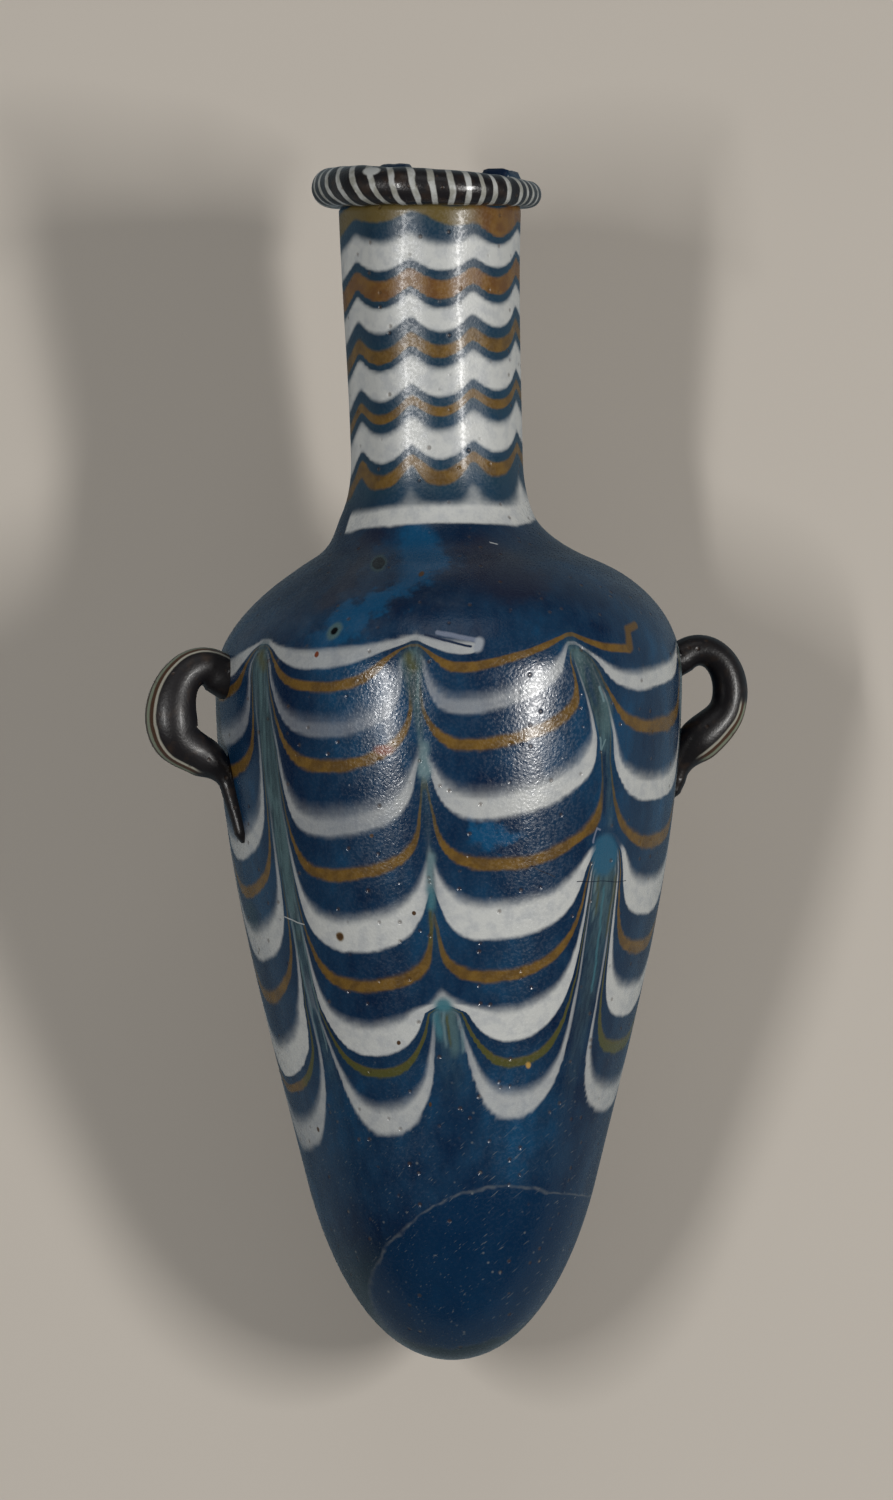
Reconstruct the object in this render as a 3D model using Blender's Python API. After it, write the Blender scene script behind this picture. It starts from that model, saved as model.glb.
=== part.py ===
"""A small core-formed glass amphoriskos, lying on its back with its front up.

The vessel is drawn in its own frame: +Y runs along its axis from the base to the mouth, +Z is its front
and +X is the right-hand side of somebody who looks at the front. An empty then tilts that frame to the way
in which the glass comes to rest, and puts the resting spot at the origin. Lengths are in metres.
"""

from math import asin, cos, pi, radians, sin

import bmesh
import bpy
import numpy as np
from mathutils import Matrix, Vector

# Outline of the outside, from the base up
HEEL_HEIGHT = 0.0163
HEEL_RADIUS = 0.0130
FLANK_LENGTH = 0.0449
BELLY_RADIUS = 0.0210
SHOULDER_RISE = 0.0110
SHOULDER_RADIUS = 0.0124
FILLET_RISE = 0.0089
NECK_RADIUS = 0.00775
NECK_LENGTH = 0.0223
MOUTH_RADIUS = 0.0082

# Slopes of the outline where its curves meet, as width gained for each unit of height
FLANK_SLOPE = 0.245
SHOULDER_SLOPE = -2.1
MOUTH_SLOPE = 0.03

# Thickness of the glass
WALL = 0.0028
BASE_THICKNESS = 0.0042
NECK_WALL = 0.0024
LIP_WALL = 0.0013

# How far the hand-shaped vessel strays to the right of a true axis
BASE_STRAY = 0.0003
SHOULDER_STRAY = 0.00075
NECK_STRAY = -0.0010
MOUTH_STRAY = -0.0017

# The cord round the lip is thickest at one side
CORD_OVERHANG = 0.00065
CORD_THICKNESS = 0.0029
CORD_SWELL = 0.0007
CORD_THICKEST_AT = radians(-60)
LIP_STAND = 0.0006
LIP_LOSS = 0.0008

# What is left of the lip above the cord: the middle of each stretch and half its width
LIP_REMAINS = ((radians(-31), radians(15)), (radians(55), radians(14)), (radians(165), radians(40)))

# Handles: azimuth from the front, reach beyond the belly, and against the belly's height the top of the
# loop, its widest place and its foot on the wall. The tail swings towards the front by an angle.
HANDLES = {
    "handle_left": {
        "azimuth": radians(-74),
        "reach": 0.0049,
        "top": 0.0012,
        "widest": -0.0030,
        "foot": -0.0097,
        "root_thickness": 0.0042,
        "top_thickness": 0.0034,
        "side_thickness": 0.0047,
        "foot_thickness": 0.0037,
        "tail_length": 0.0049,
        "tail_swing": radians(6),
    },
    "handle_right": {
        "azimuth": radians(99),
        "reach": 0.0047,
        "top": 0.0027,
        "widest": -0.0010,
        "foot": -0.0089,
        "root_thickness": 0.0032,
        "top_thickness": 0.0028,
        "side_thickness": 0.0032,
        "foot_thickness": 0.0040,
        "tail_length": 0.0018,
        "tail_swing": 0.0,
    },
}
HANDLE_ROUNDNESS = 0.60
TAIL_THICKNESS = 0.0015
TAIL_TIP_THICKNESS = 0.0006

# Glass that is welded in the real vessel keeps this gap between its solids
SEAM = 0.0003

# Depth of the worn flat on the back, on which the vessel lies
REST_DEPTH = 0.00030

# Facets
SIDES = 56
CORD_SIDES = 10
HANDLE_SIDES = 12
LOOP_STEPS, BEND_STEPS, TAIL_STEPS = 11, 8, 4
GROOVE_STEPS = 5

BLUE_GLASS = (0.012, 0.030, 0.085)
CORD_GLASS = (0.10, 0.09, 0.085)
BLACK_GLASS = (0.012, 0.011, 0.012)

belly_height = HEEL_HEIGHT + FLANK_LENGTH
shoulder_height = belly_height + SHOULDER_RISE
neck_height = shoulder_height + FILLET_RISE
mouth_height = neck_height + NECK_LENGTH
cord_seat_height = mouth_height + SEAM
cord_ring_radius = MOUTH_RADIUS + CORD_OVERHANG


def clear_scene():
    """Removes whatever the file holds, so that the script always starts from nothing."""
    for thing in list(bpy.data.objects):
        bpy.data.objects.remove(thing, do_unlink=True)


def glass(name, colour, roughness):
    """Returns a plain glass-like Principled material."""
    made = bpy.data.materials.new(name)
    made.use_nodes = True
    shader = made.node_tree.nodes["Principled BSDF"]
    shader.inputs["Base Color"].default_value = (*colour, 1.0)
    shader.inputs["Roughness"].default_value = roughness
    shader.inputs["Metallic"].default_value = 0.0
    made.diffuse_color = (*colour, 1.0)
    return made


def bend(start, start_slope, end, end_slope, start_pull, end_pull, steps):
    """Returns the points after start on a Bezier curve, whose slopes are (across, up) directions."""
    first, last = Vector(start), Vector(end)
    span = (last - first).length
    first_handle = first + Vector(start_slope).normalized() * span * start_pull
    last_handle = last - Vector(end_slope).normalized() * span * end_pull
    points = []
    for step in range(1, steps + 1):
        t = step / steps
        s = 1 - t
        point = first * s**3 + first_handle * 3 * s * s * t + last_handle * 3 * s * t * t + last * t**3
        points.append(tuple(point))
    return points


def ease(value, knots):
    """Passes smoothly through knots, which are pairs in rising order, and is level at each."""
    if value <= knots[0][0]:
        return knots[0][1]
    for (low, low_value), (high, high_value) in zip(knots, knots[1:]):
        if value <= high:
            t = (value - low) / (high - low)
            return low_value + (high_value - low_value) * t * t * (3 - 2 * t)
    return knots[-1][1]


def stray(height):
    """How far the section at this height lies to the right of the true axis."""
    return ease(
        height,
        (
            (0.0, BASE_STRAY),
            (belly_height, 0.0),
            (shoulder_height - SHOULDER_RISE * 0.16, SHOULDER_STRAY),
            (shoulder_height + FILLET_RISE * 0.43, NECK_STRAY),
            (mouth_height, MOUTH_STRAY),
        ),
    )


def outer_outline(steps):
    """(radius, height) of the outside from the base's tip to just under the cord."""
    base, flank, shoulder, fillet, neck = steps
    tip = (0.0, 0.0)
    heel = (HEEL_RADIUS, HEEL_HEIGHT)
    belly = (BELLY_RADIUS, belly_height)
    edge = (SHOULDER_RADIUS, shoulder_height)
    root = (NECK_RADIUS, neck_height)
    mouth = (MOUTH_RADIUS, mouth_height)
    points = [tip]
    points += bend(tip, (1, 0), heel, (FLANK_SLOPE, 1), 0.33, 0.38, base)
    points += bend(heel, (FLANK_SLOPE, 1), belly, (0, 1), 0.29, 0.35, flank)
    points += bend(belly, (0, 1), edge, (SHOULDER_SLOPE, 1), 0.37, 0.33, shoulder)
    points += bend(edge, (SHOULDER_SLOPE, 1), root, (0, 1), 0.47, 0.24, fillet)
    points += bend(root, (0, 1), mouth, (MOUTH_SLOPE, 1), 0.33, 0.33, neck)
    return points


def inset(point, slope, thickness):
    """Moves a point of the outline into the glass, square to the outline's slope."""
    along = Vector((slope, 1)).normalized()
    return (point[0] - along.y * thickness, point[1] + along.x * thickness)


def inner_outline(steps):
    """(radius, height) of the hollow from the lip's inside down to the middle of the base."""
    neck, fillet, shoulder, flank, base = steps
    bore = NECK_RADIUS - NECK_WALL
    lip_bore = cord_ring_radius - cord_radius(CORD_THICKEST_AT) - SEAM - LIP_WALL
    mouth = (lip_bore, mouth_height)
    root = (bore, neck_height - NECK_WALL * 0.5)
    edge = inset((SHOULDER_RADIUS, shoulder_height), SHOULDER_SLOPE, WALL)
    belly = (BELLY_RADIUS - WALL, belly_height)
    heel = inset((HEEL_RADIUS, HEEL_HEIGHT), FLANK_SLOPE, WALL)
    floor = (0.0, BASE_THICKNESS)
    points = [mouth]
    points += bend(mouth, (0, -1), root, (0, -1), 0.33, 0.33, neck)
    points += bend(root, (0, -1), edge, (-SHOULDER_SLOPE, -1), 0.24, 0.40, fillet)
    points += bend(edge, (-SHOULDER_SLOPE, -1), belly, (0, -1), 0.33, 0.37, shoulder)
    points += bend(belly, (0, -1), heel, (-FLANK_SLOPE, -1), 0.35, 0.29, flank)
    points += bend(heel, (-FLANK_SLOPE, -1), floor, (-1, 0), 0.38, 0.33, base)
    return points


def cord_radius(angle):
    """Half the cord's thickness at this angle round the lip."""
    return (CORD_THICKNESS + CORD_SWELL * cos(angle - CORD_THICKEST_AT)) / 2


def cord_height(angle):
    """Height of the cord's middle: its underside is level, so it is higher where the cord is thicker."""
    return cord_seat_height + cord_radius(angle)


def lip_stand(angle):
    """How far the lip rises over the cord's middle: full height only where it isn't broken away."""
    thickness = cord_radius(angle)
    kept = 0.0
    for middle, half_width in LIP_REMAINS:
        away = abs((angle - middle + pi) % (2 * pi) - pi)
        kept = max(kept, ease(away, ((half_width * 0.6, 1.0), (half_width, 0.0))))
    return thickness - LIP_LOSS + kept * (LIP_LOSS + LIP_STAND)


def lip_section(angle):
    """(radius, height) round the lip: up the groove that holds the cord, over the top and inside."""
    groove = cord_radius(angle) + SEAM
    middle = cord_height(angle)
    start = asin(-min(1.0, max(0.0, 1 - (CORD_OVERHANG / groove) ** 2)) ** 0.5)
    top = lip_stand(angle)
    finish = asin(min(0.75, max(-0.2, (top - 0.0003) / groove)))
    points = []
    for step in range(GROOVE_STEPS + 1):
        turn = start + (finish - start) * step / GROOVE_STEPS
        points.append((cord_ring_radius - groove * cos(turn), middle + groove * sin(turn)))
    lip_bore = cord_ring_radius - cord_radius(CORD_THICKEST_AT) - SEAM - LIP_WALL
    rim = points[-1][0]
    points.append((rim - (rim - lip_bore) * 0.3, middle + top))
    points.append((lip_bore + (rim - lip_bore) * 0.2, middle + top))
    points.append((lip_bore, middle + top - (rim - lip_bore) * 0.2))
    return points


def place(radius, height, angle):
    """The vessel-frame position of a point of a section at this angle from the front."""
    return Vector((radius * sin(angle) + stray(height), height, radius * cos(angle)))


def turned(sections):
    """Skins sections, one for each angle all the way round, that begin and end on the axis."""
    shell = bmesh.new()
    low = shell.verts.new(place(0.0, sections[0][0][1], 0.0))
    high = shell.verts.new(place(0.0, sections[0][-1][1], 0.0))
    rings = []
    for index, section in enumerate(sections):
        angle = 2 * pi * index / len(sections)
        rings.append([shell.verts.new(place(radius, height, angle)) for radius, height in section[1:-1]])
    for ring, after in zip(rings, rings[1:] + rings[:1]):
        shell.faces.new((low, after[0], ring[0]))
        shell.faces.new((high, ring[-1], after[-1]))
        for row in range(len(ring) - 1):
            shell.faces.new((ring[row], after[row], after[row + 1], ring[row + 1]))
    bmesh.ops.recalc_face_normals(shell, faces=shell.faces)
    return shell


def tube(centres, normals, binormals, half_sizes, sides, closed):
    """Sweeps an ellipse along centres, with flat ends or joined into a ring."""
    shell = bmesh.new()
    rings = []
    for centre, normal, binormal, (across, deep) in zip(centres, normals, binormals, half_sizes):
        ring = []
        for side in range(sides):
            turn = 2 * pi * side / sides
            ring.append(shell.verts.new(centre + normal * across * cos(turn) + binormal * deep * sin(turn)))
        rings.append(ring)
    followers = rings[1:] + rings[:1] if closed else rings[1:]
    for ring, after in zip(rings, followers):
        for side in range(sides):
            other = (side + 1) % sides
            shell.faces.new((ring[side], ring[other], after[other], after[side]))
    if not closed:
        shell.faces.new(rings[0])
        shell.faces.new(rings[-1])
    bmesh.ops.recalc_face_normals(shell, faces=shell.faces)
    return shell


def new_object(name, shell, material, parent):
    """Turns a bmesh into a smoothly shaded object under the parent."""
    mesh = bpy.data.meshes.new(name)
    shell.to_mesh(mesh)
    shell.free()
    mesh.shade_smooth()
    mesh.set_sharp_from_angle(angle=radians(40))
    if material:
        mesh.materials.append(material)
    made = bpy.data.objects.new(name, mesh)
    bpy.context.scene.collection.objects.link(made)
    made.parent = parent
    return made


def body_shell():
    """The hollow vessel, before it gets its resting flat."""
    outside = outer_outline((6, 8, 7, 5, 4))
    inside = inner_outline((2, 3, 4, 4, 4))
    sections = [outside + lip_section(2 * pi * k / SIDES) + inside for k in range(SIDES)]
    return turned(sections)


def wall_cutter(parent):
    """The vessel's outside, one seam larger, which trims the handles where they meet the wall."""
    outside = [(radius + SEAM, height) for radius, height in outer_outline((6, 8, 7, 5, 4))]
    lid_height = mouth_height
    section = [(0.0, -SEAM)] + outside[1:] + [(0.0, lid_height)]
    cutter = new_object("wall_cutter", turned([section] * SIDES), None, parent)
    cutter.hide_render = True
    cutter.display_type = "WIRE"
    return cutter


def make_rim_cord(material, parent):
    """The cord: a ring that swells towards one side, laid in the groove round the lip."""
    centres, outwards, sizes = [], [], []
    for index in range(SIDES):
        angle = 2 * pi * index / SIDES
        centre = place(cord_ring_radius, cord_height(angle), angle)
        centres.append(centre)
        outwards.append(Vector((sin(angle), 0, cos(angle))))
        sizes.append((cord_radius(angle),) * 2)
    upwards = [Vector((0, 1, 0))] * SIDES
    return new_object("rim_cord", tube(centres, outwards, upwards, sizes, CORD_SIDES, True), material, parent)


def outline_radius(height):
    """The outside radius at a height, read off the outline."""
    radii, heights = zip(*outer_outline((12, 16, 14, 10, 8)))
    return float(np.interp(height, heights, radii))


def handle_route(sizes):
    """(radius, height, thickness, swing) along a handle: the loop, the way down to the wall, the tail."""
    top = belly_height + sizes["top"]
    widest = belly_height + sizes["widest"]
    foot = belly_height + sizes["foot"]
    rise = top - widest
    round_reach = sizes["reach"] * HANDLE_ROUNDNESS
    centre = BELLY_RADIUS + sizes["reach"] - round_reach
    root_height = widest + rise * 0.75
    route = [(outline_radius(root_height) - WALL * 0.6, root_height)]
    first, last = radians(130), radians(-25)
    for turn in np.linspace(first, last, LOOP_STEPS + 1):
        route.append((centre + round_reach * cos(turn), widest + rise * sin(turn)))
    down = (round_reach * sin(last), -rise * cos(last))
    lift = TAIL_THICKNESS * 0.2
    route += bend(route[-1], down, (outline_radius(foot) + lift, foot), (-0.15, -1), 0.3, 0.45, BEND_STEPS)
    for step in range(1, TAIL_STEPS + 1):
        height = foot - sizes["tail_length"] * step / TAIL_STEPS
        route.append((outline_radius(height) + lift * (1 - step / TAIL_STEPS), height))
    gone = [0.0]
    for before, after in zip(route, route[1:]):
        gone.append(gone[-1] + (Vector(after) - Vector(before)).length)
    loop_top, loop_side = gone[LOOP_STEPS // 3], gone[LOOP_STEPS - 1]
    strand_end, wall_foot = gone[LOOP_STEPS + BEND_STEPS // 2 + 1], gone[LOOP_STEPS + BEND_STEPS + 1]
    knots = (
        (0.0, sizes["root_thickness"]),
        (loop_top, sizes["top_thickness"]),
        (loop_side, sizes["side_thickness"]),
        (strand_end, sizes["foot_thickness"]),
        (wall_foot, TAIL_THICKNESS),
        (gone[-1], TAIL_TIP_THICKNESS),
    )
    swings = ((strand_end, 0.0), (gone[-1], sizes["tail_swing"]))
    return [(*spot, ease(way, knots), ease(way, swings)) for spot, way in zip(route, gone)]


def make_handle(name, sizes, cutter, material, parent):
    """One handle, modelled in the plane of radius and height, then turned to its azimuth."""
    centres, halves = [], []
    for radius, height, thickness, swing in handle_route(sizes):
        centres.append(Vector((radius * sin(swing), height, radius * cos(swing))))
        halves.append((thickness / 2, thickness / 2))
    sideways = Vector((1, 0, 0))
    normals = []
    for index in range(len(centres)):
        before, after = centres[max(index - 1, 0)], centres[min(index + 1, len(centres) - 1)]
        normals.append((after - before).normalized().cross(sideways))
    shell = tube(centres, normals, [sideways] * len(centres), halves, HANDLE_SIDES, False)
    handle = new_object(name, shell, material, parent)
    handle.rotation_euler = (0, sizes["azimuth"], 0)
    handle.location = (stray(belly_height), 0, 0)
    trim = handle.modifiers.new("trim to the wall", "BOOLEAN")
    trim.operation = "DIFFERENCE"
    trim.solver = "EXACT"
    trim.object = cutter
    return handle


def moments(shell, matrix):
    """The volume of a closed bmesh and its volume times its centre, after it is placed by the matrix."""
    volume, moment = 0.0, Vector()
    for first, second, third in (loops for loops in shell.calc_loop_triangles()):
        a, b, c = (matrix @ loop.vert.co for loop in (first, second, third))
        part = a.dot(b.cross(c)) / 6
        volume += part
        moment += (a + b + c) * part / 4
    return volume, moment


def mass_centre(objects):
    """The centre of mass of solids of one kind of glass, in the frame of their parent."""
    graph = bpy.context.evaluated_depsgraph_get()
    volume, moment = 0.0, Vector()
    for thing in objects:
        shell = bmesh.new()
        shell.from_object(thing, graph)
        own_volume, own_moment = moments(shell, thing.matrix_basis)
        volume += own_volume
        moment += own_moment
        shell.free()
    return moment / volume


def resting_tilt(centre):
    """The angle by which the mouth is raised when the vessel lies on its back with the least height."""
    radii, heights = (np.array(values) for values in zip(*outer_outline((12, 60, 28, 10, 8))))
    tilts = np.radians(np.arange(-20, 40, 0.02))[:, None]
    support = (radii * np.cos(tilts) - heights * np.sin(tilts)).max(axis=1)
    rise = centre.y * np.sin(tilts[:, 0]) + centre.z * np.cos(tilts[:, 0]) + support
    return float(tilts[rise.argmin(), 0])


def cut_resting_flat(body, tilt):
    """Grinds the small flat into the body's back and returns its centre in the vessel frame."""
    down = Vector((0, -sin(tilt), -cos(tilt)))
    lowest = max(vertex.co.dot(down) for vertex in body.data.vertices)
    plane_point = down * (lowest - REST_DEPTH)
    shell = bmesh.new()
    shell.from_mesh(body.data)
    everything = shell.verts[:] + shell.edges[:] + shell.faces[:]
    cut = bmesh.ops.bisect_plane(
        shell, geom=everything, dist=1e-7, plane_co=plane_point, plane_no=down, clear_outer=True
    )
    edges = [item for item in cut["geom_cut"] if isinstance(item, bmesh.types.BMEdge)]
    flat = bmesh.ops.contextual_create(shell, geom=edges)["faces"][0]
    centre = flat.calc_center_bounds()
    bmesh.ops.recalc_face_normals(shell, faces=shell.faces)
    shell.to_mesh(body.data)
    shell.free()
    body.data.shade_smooth()
    body.data.set_sharp_from_angle(angle=radians(40))
    return centre


def main():
    clear_scene()
    vessel = bpy.data.objects.new("vessel", None)
    bpy.context.scene.collection.objects.link(vessel)
    blue = glass("blue glass", BLUE_GLASS, 0.25)
    body = new_object("body", body_shell(), blue, vessel)
    rim_cord = make_rim_cord(glass("cord glass", CORD_GLASS, 0.3), vessel)
    cutter = wall_cutter(vessel)
    black = glass("black glass", BLACK_GLASS, 0.3)
    handles = [make_handle(name, sizes, cutter, black, vessel) for name, sizes in HANDLES.items()]
    bpy.context.view_layer.update()
    tilt = resting_tilt(mass_centre([body, rim_cord, *handles]))
    flat_centre = cut_resting_flat(body, tilt)
    vessel.rotation_euler = (tilt, 0, 0)
    vessel.location = -(Matrix.Rotation(tilt, 3, "X") @ flat_centre)
    bpy.context.view_layer.update()


main()
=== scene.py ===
# %% [markdown]
# # A small core-formed amphoriskos
#
# This lesson dresses a perfume vessel of opaque dark blue glass. A glassmaker wound the hot glass round a
# core on a rod, laid threads of white and ochre glass round it, dragged a point up through them, and
# rolled the surface smooth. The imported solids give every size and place. Here each of the four pieces gets
# a finer mesh and its own finish.

# %% Load the frame
from math import asin, cos, degrees, exp, pi, radians, sin
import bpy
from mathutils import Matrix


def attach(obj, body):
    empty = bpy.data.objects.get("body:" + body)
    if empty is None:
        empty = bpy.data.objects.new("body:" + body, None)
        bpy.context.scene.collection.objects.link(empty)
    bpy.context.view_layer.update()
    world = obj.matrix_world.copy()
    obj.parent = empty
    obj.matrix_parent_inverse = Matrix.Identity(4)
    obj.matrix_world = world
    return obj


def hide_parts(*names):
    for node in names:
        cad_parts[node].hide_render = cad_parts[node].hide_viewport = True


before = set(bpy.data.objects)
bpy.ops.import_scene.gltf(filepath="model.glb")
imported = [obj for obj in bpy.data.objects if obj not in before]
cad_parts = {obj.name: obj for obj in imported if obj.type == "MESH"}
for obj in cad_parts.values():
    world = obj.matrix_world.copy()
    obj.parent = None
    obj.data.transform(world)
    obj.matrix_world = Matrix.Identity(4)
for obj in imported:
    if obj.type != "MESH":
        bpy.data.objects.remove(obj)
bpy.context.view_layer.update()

from types import SimpleNamespace

import bpy
import numpy as np
from mathutils import Matrix, Vector, noise

print("solids:", sorted(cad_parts))

# %% [markdown]
# ## The vessel's own frame
#
# The vessel lies on its back, so its axis is neither level nor at the origin. It is far easier to model it
# along its own axis and to place it at the end. In the vessel's frame +Y runs from the base to the mouth,
# +Z is the front and +X is the right-hand side. One matrix then lays everything down.

# %% Place the vessel's frame
TILT = radians(8.22)
BASE_TIP = Vector((-0.00003, -0.049104, 0.012643))

vessel_matrix = Matrix.Translation(BASE_TIP) @ Matrix.Rotation(TILT, 4, "X")
lay_down = np.array(vessel_matrix)
print("axis raised by", round(degrees(TILT), 2), "degrees")

# %% [markdown]
# ## The outline
#
# A pot's outline could be a list of points, but a smooth hand-rolled wall is better drawn with a few
# Bezier spans, each between two places that a potter would name: tip, heel, belly, shoulder, neck root and
# mouth. The same spans, with the same sizes, made the solids, so the fine mesh lies on them.

# %% Draw the outline with Bezier spans
HEEL_RADIUS, HEEL_HEIGHT = 0.0130, 0.0163
BELLY_RADIUS, BELLY_HEIGHT = 0.0210, 0.0612
SHOULDER_RADIUS, SHOULDER_HEIGHT = 0.0124, 0.0722
NECK_RADIUS, NECK_HEIGHT = 0.00775, 0.0811
MOUTH_RADIUS, MOUTH_HEIGHT = 0.0082, 0.1034
FLANK_SLOPE, SHOULDER_SLOPE, MOUTH_SLOPE = 0.245, -2.1, 0.03
WALL, BASE_THICKNESS, NECK_WALL, LIP_WALL = 0.0028, 0.0042, 0.0024, 0.0013


def bend(start, start_slope, end, end_slope, start_pull, end_pull, steps):
    """Points after start on a Bezier curve between two places."""
    first, last = Vector(start), Vector(end)
    span = (last - first).length
    first_handle = first + Vector(start_slope).normalized() * span * start_pull
    last_handle = last - Vector(end_slope).normalized() * span * end_pull
    points = []
    for step in range(1, steps + 1):
        t = step / steps
        s = 1 - t
        near_first = first * s**3 + first_handle * 3 * s * s * t
        points.append(tuple(near_first + last_handle * 3 * s * t * t + last * t**3))
    return points


def outer_outline(steps):
    """(radius, height) of the outside, from the tip to just under the cord."""
    heel, belly = (HEEL_RADIUS, HEEL_HEIGHT), (BELLY_RADIUS, BELLY_HEIGHT)
    edge, root = (SHOULDER_RADIUS, SHOULDER_HEIGHT), (NECK_RADIUS, NECK_HEIGHT)
    mouth = (MOUTH_RADIUS, MOUTH_HEIGHT)
    points = [(0.0, 0.0)]
    points += bend(points[0], (1, 0), heel, (FLANK_SLOPE, 1), 0.33, 0.38, steps)
    points += bend(heel, (FLANK_SLOPE, 1), belly, (0, 1), 0.29, 0.35, steps)
    points += bend(belly, (0, 1), edge, (SHOULDER_SLOPE, 1), 0.37, 0.33, steps)
    points += bend(edge, (SHOULDER_SLOPE, 1), root, (0, 1), 0.47, 0.24, steps)
    points += bend(root, (0, 1), mouth, (MOUTH_SLOPE, 1), 0.33, 0.33, steps)
    return np.array(points)


FINE_STEPS = 200
fine_outline = outer_outline(FINE_STEPS)


def outline_radius(height):
    """The outside radius at a height."""
    return np.interp(height, fine_outline[:, 1], fine_outline[:, 0])


print("belly", round(fine_outline[:, 0].max() * 2000, 1), "mm across")

# %% [markdown]
# The real vessel isn't quite straight: its axis strays a little to the right at the shoulder and to the
# left at the mouth. A function of height that eases through a few knots gives that sway to every piece.

# %% Let the axis stray
STRAY = ((0.0, 0.0003), (0.0612, 0.0), (0.07044, 0.00075), (0.07603, -0.0010), (0.1034, -0.0017))


def ease(value, knots):
    """Passes smoothly through knots, which are pairs in rising order, and is level at each."""
    places, values = (np.array(part) for part in zip(*knots))
    index = np.clip(np.searchsorted(places, value) - 1, 0, len(knots) - 2)
    low, high = places[index], places[index + 1]
    t = np.clip((value - low) / (high - low), 0, 1)
    return values[index] + (values[index + 1] - values[index]) * t * t * (3 - 2 * t)


def stray(height):
    """How far the section at this height lies to the right of the true axis."""
    return ease(height, STRAY)


print("the mouth strays by", round(float(stray(MOUTH_HEIGHT)) * 1000, 1), "mm")

# %% [markdown]
# ## The threads
#
# Before they were dragged, the threads lay in a rising spiral: white and ochre by turns. Each row here is
# one turn of a thread, with its height in the middle of the four front garlands, its thickness there and
# how opaque it is. On the real piece the spiral goes on round the back, where a turn joins the next one up.
#
# Shading needs one smooth number that counts threads upwards: whole numbers are the middles of white
# threads and halves are the middles of ochre ones. Everything else follows from its fractional part.

# %% List the threads of the body and the neck
GARLANDS = (-72.0, -28.0, 20.0, 66.0)
NECK_GARLANDS = (-43.0, -3.0, 20.0, 48.0)
WHITE_HALF, OCHRE_HALF = 0.17, 0.10
OPAQUE = (1.0, 1.0, 1.0, 1.0)

# Counts per mm past the first and last thread, and the least gap between two threads in mm
OUTER_RATE, LEAST_GAP = 0.4, 0.05

# Kind, heights in mm, thicknesses in mm, and opacities, each at the four garlands
BODY_THREADS = (
    ("white", (20.1, 21.0, 22.6, 23.4), (2.3, 2.4, 2.4, 2.3), (0.7, 0.8, 0.75, 0.8)),
    ("ochre", (24.3, 25.6, 26.6, 28.1), (0.8, 0.8, 0.75, 1.0), (1.0, 0.9, 0.9, 1.0)),
    ("white", (26.6, 28.4, 30.0, 32.0), (2.8, 2.7, 2.9, 2.7), (1.0, 0.95, 1.0, 1.0)),
    ("ochre", (32.1, 33.5, 34.7, 36.9), (1.0, 1.1, 0.95, 1.1), OPAQUE),
    ("white", (36.9, 38.0, 39.6, 41.4), (2.7, 2.9, 3.1, 3.1), (0.85, 1.0, 1.0, 1.0)),
    ("ochre", (41.7, 43.6, 44.7, 46.5), (0.95, 1.0, 1.0, 1.25), OPAQUE),
    ("white", (45.6, 48.0, 49.8, 51.3), (1.9, 1.7, 2.0, 1.9), (0.85, 0.62, 0.9, 1.0)),
    ("ochre", (52.7, 53.3, 55.4, 57.0), (1.0, 1.0, 0.95, 1.25), OPAQUE),
    ("white", (55.8, 56.6, 59.0, 61.5), (1.3, 1.25, 1.1, 1.6), (0.6, 0.5, 0.62, 0.95)),
    ("ochre", (59.7, 60.4, 62.3, 64.6), (0.9, 0.9, 0.9, 0.8), (0.8, 0.8, 1.0, 0.9)),
    ("white", (61.7, 63.0, 63.8, 67.0), (1.9, 1.9, 1.0, 0.9), (0.8, 0.7, 0.75, 0.7)),
)
NECK_THREADS = (
    ("white", (75.6, 76.0, 76.0, 75.9), (1.6, 1.7, 1.7, 1.9), OPAQUE),
    ("ochre", (78.3, 78.5, 78.6, 79.3), (1.0, 1.0, 1.0, 1.0), OPAQUE),
    ("white", (80.8, 81.0, 81.3, 82.0), (2.6, 2.6, 2.7, 2.7), OPAQUE),
    ("ochre", (83.4, 84.0, 84.3, 85.0), (0.9, 0.9, 0.9, 0.9), OPAQUE),
    ("white", (86.4, 86.6, 86.8, 87.5), (2.7, 2.7, 2.7, 2.6), OPAQUE),
    ("ochre", (88.9, 89.4, 89.6, 90.2), (1.4, 1.3, 1.2, 1.3), OPAQUE),
    ("white", (92.3, 92.3, 92.4, 92.9), (2.2, 2.1, 2.1, 2.1), OPAQUE),
    ("ochre", (95.0, 95.0, 95.1, 95.6), (2.1, 2.1, 1.9, 1.9), OPAQUE),
    ("white", (98.3, 98.1, 98.1, 98.4), (2.8, 2.6, 2.5, 2.3), OPAQUE),
    ("ochre", (102.5, 102.8, 102.0, 101.6), (2.2, 1.6, 2.3, 3.1), (0.9, 0.7, 0.9, 1.0)),
)


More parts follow.
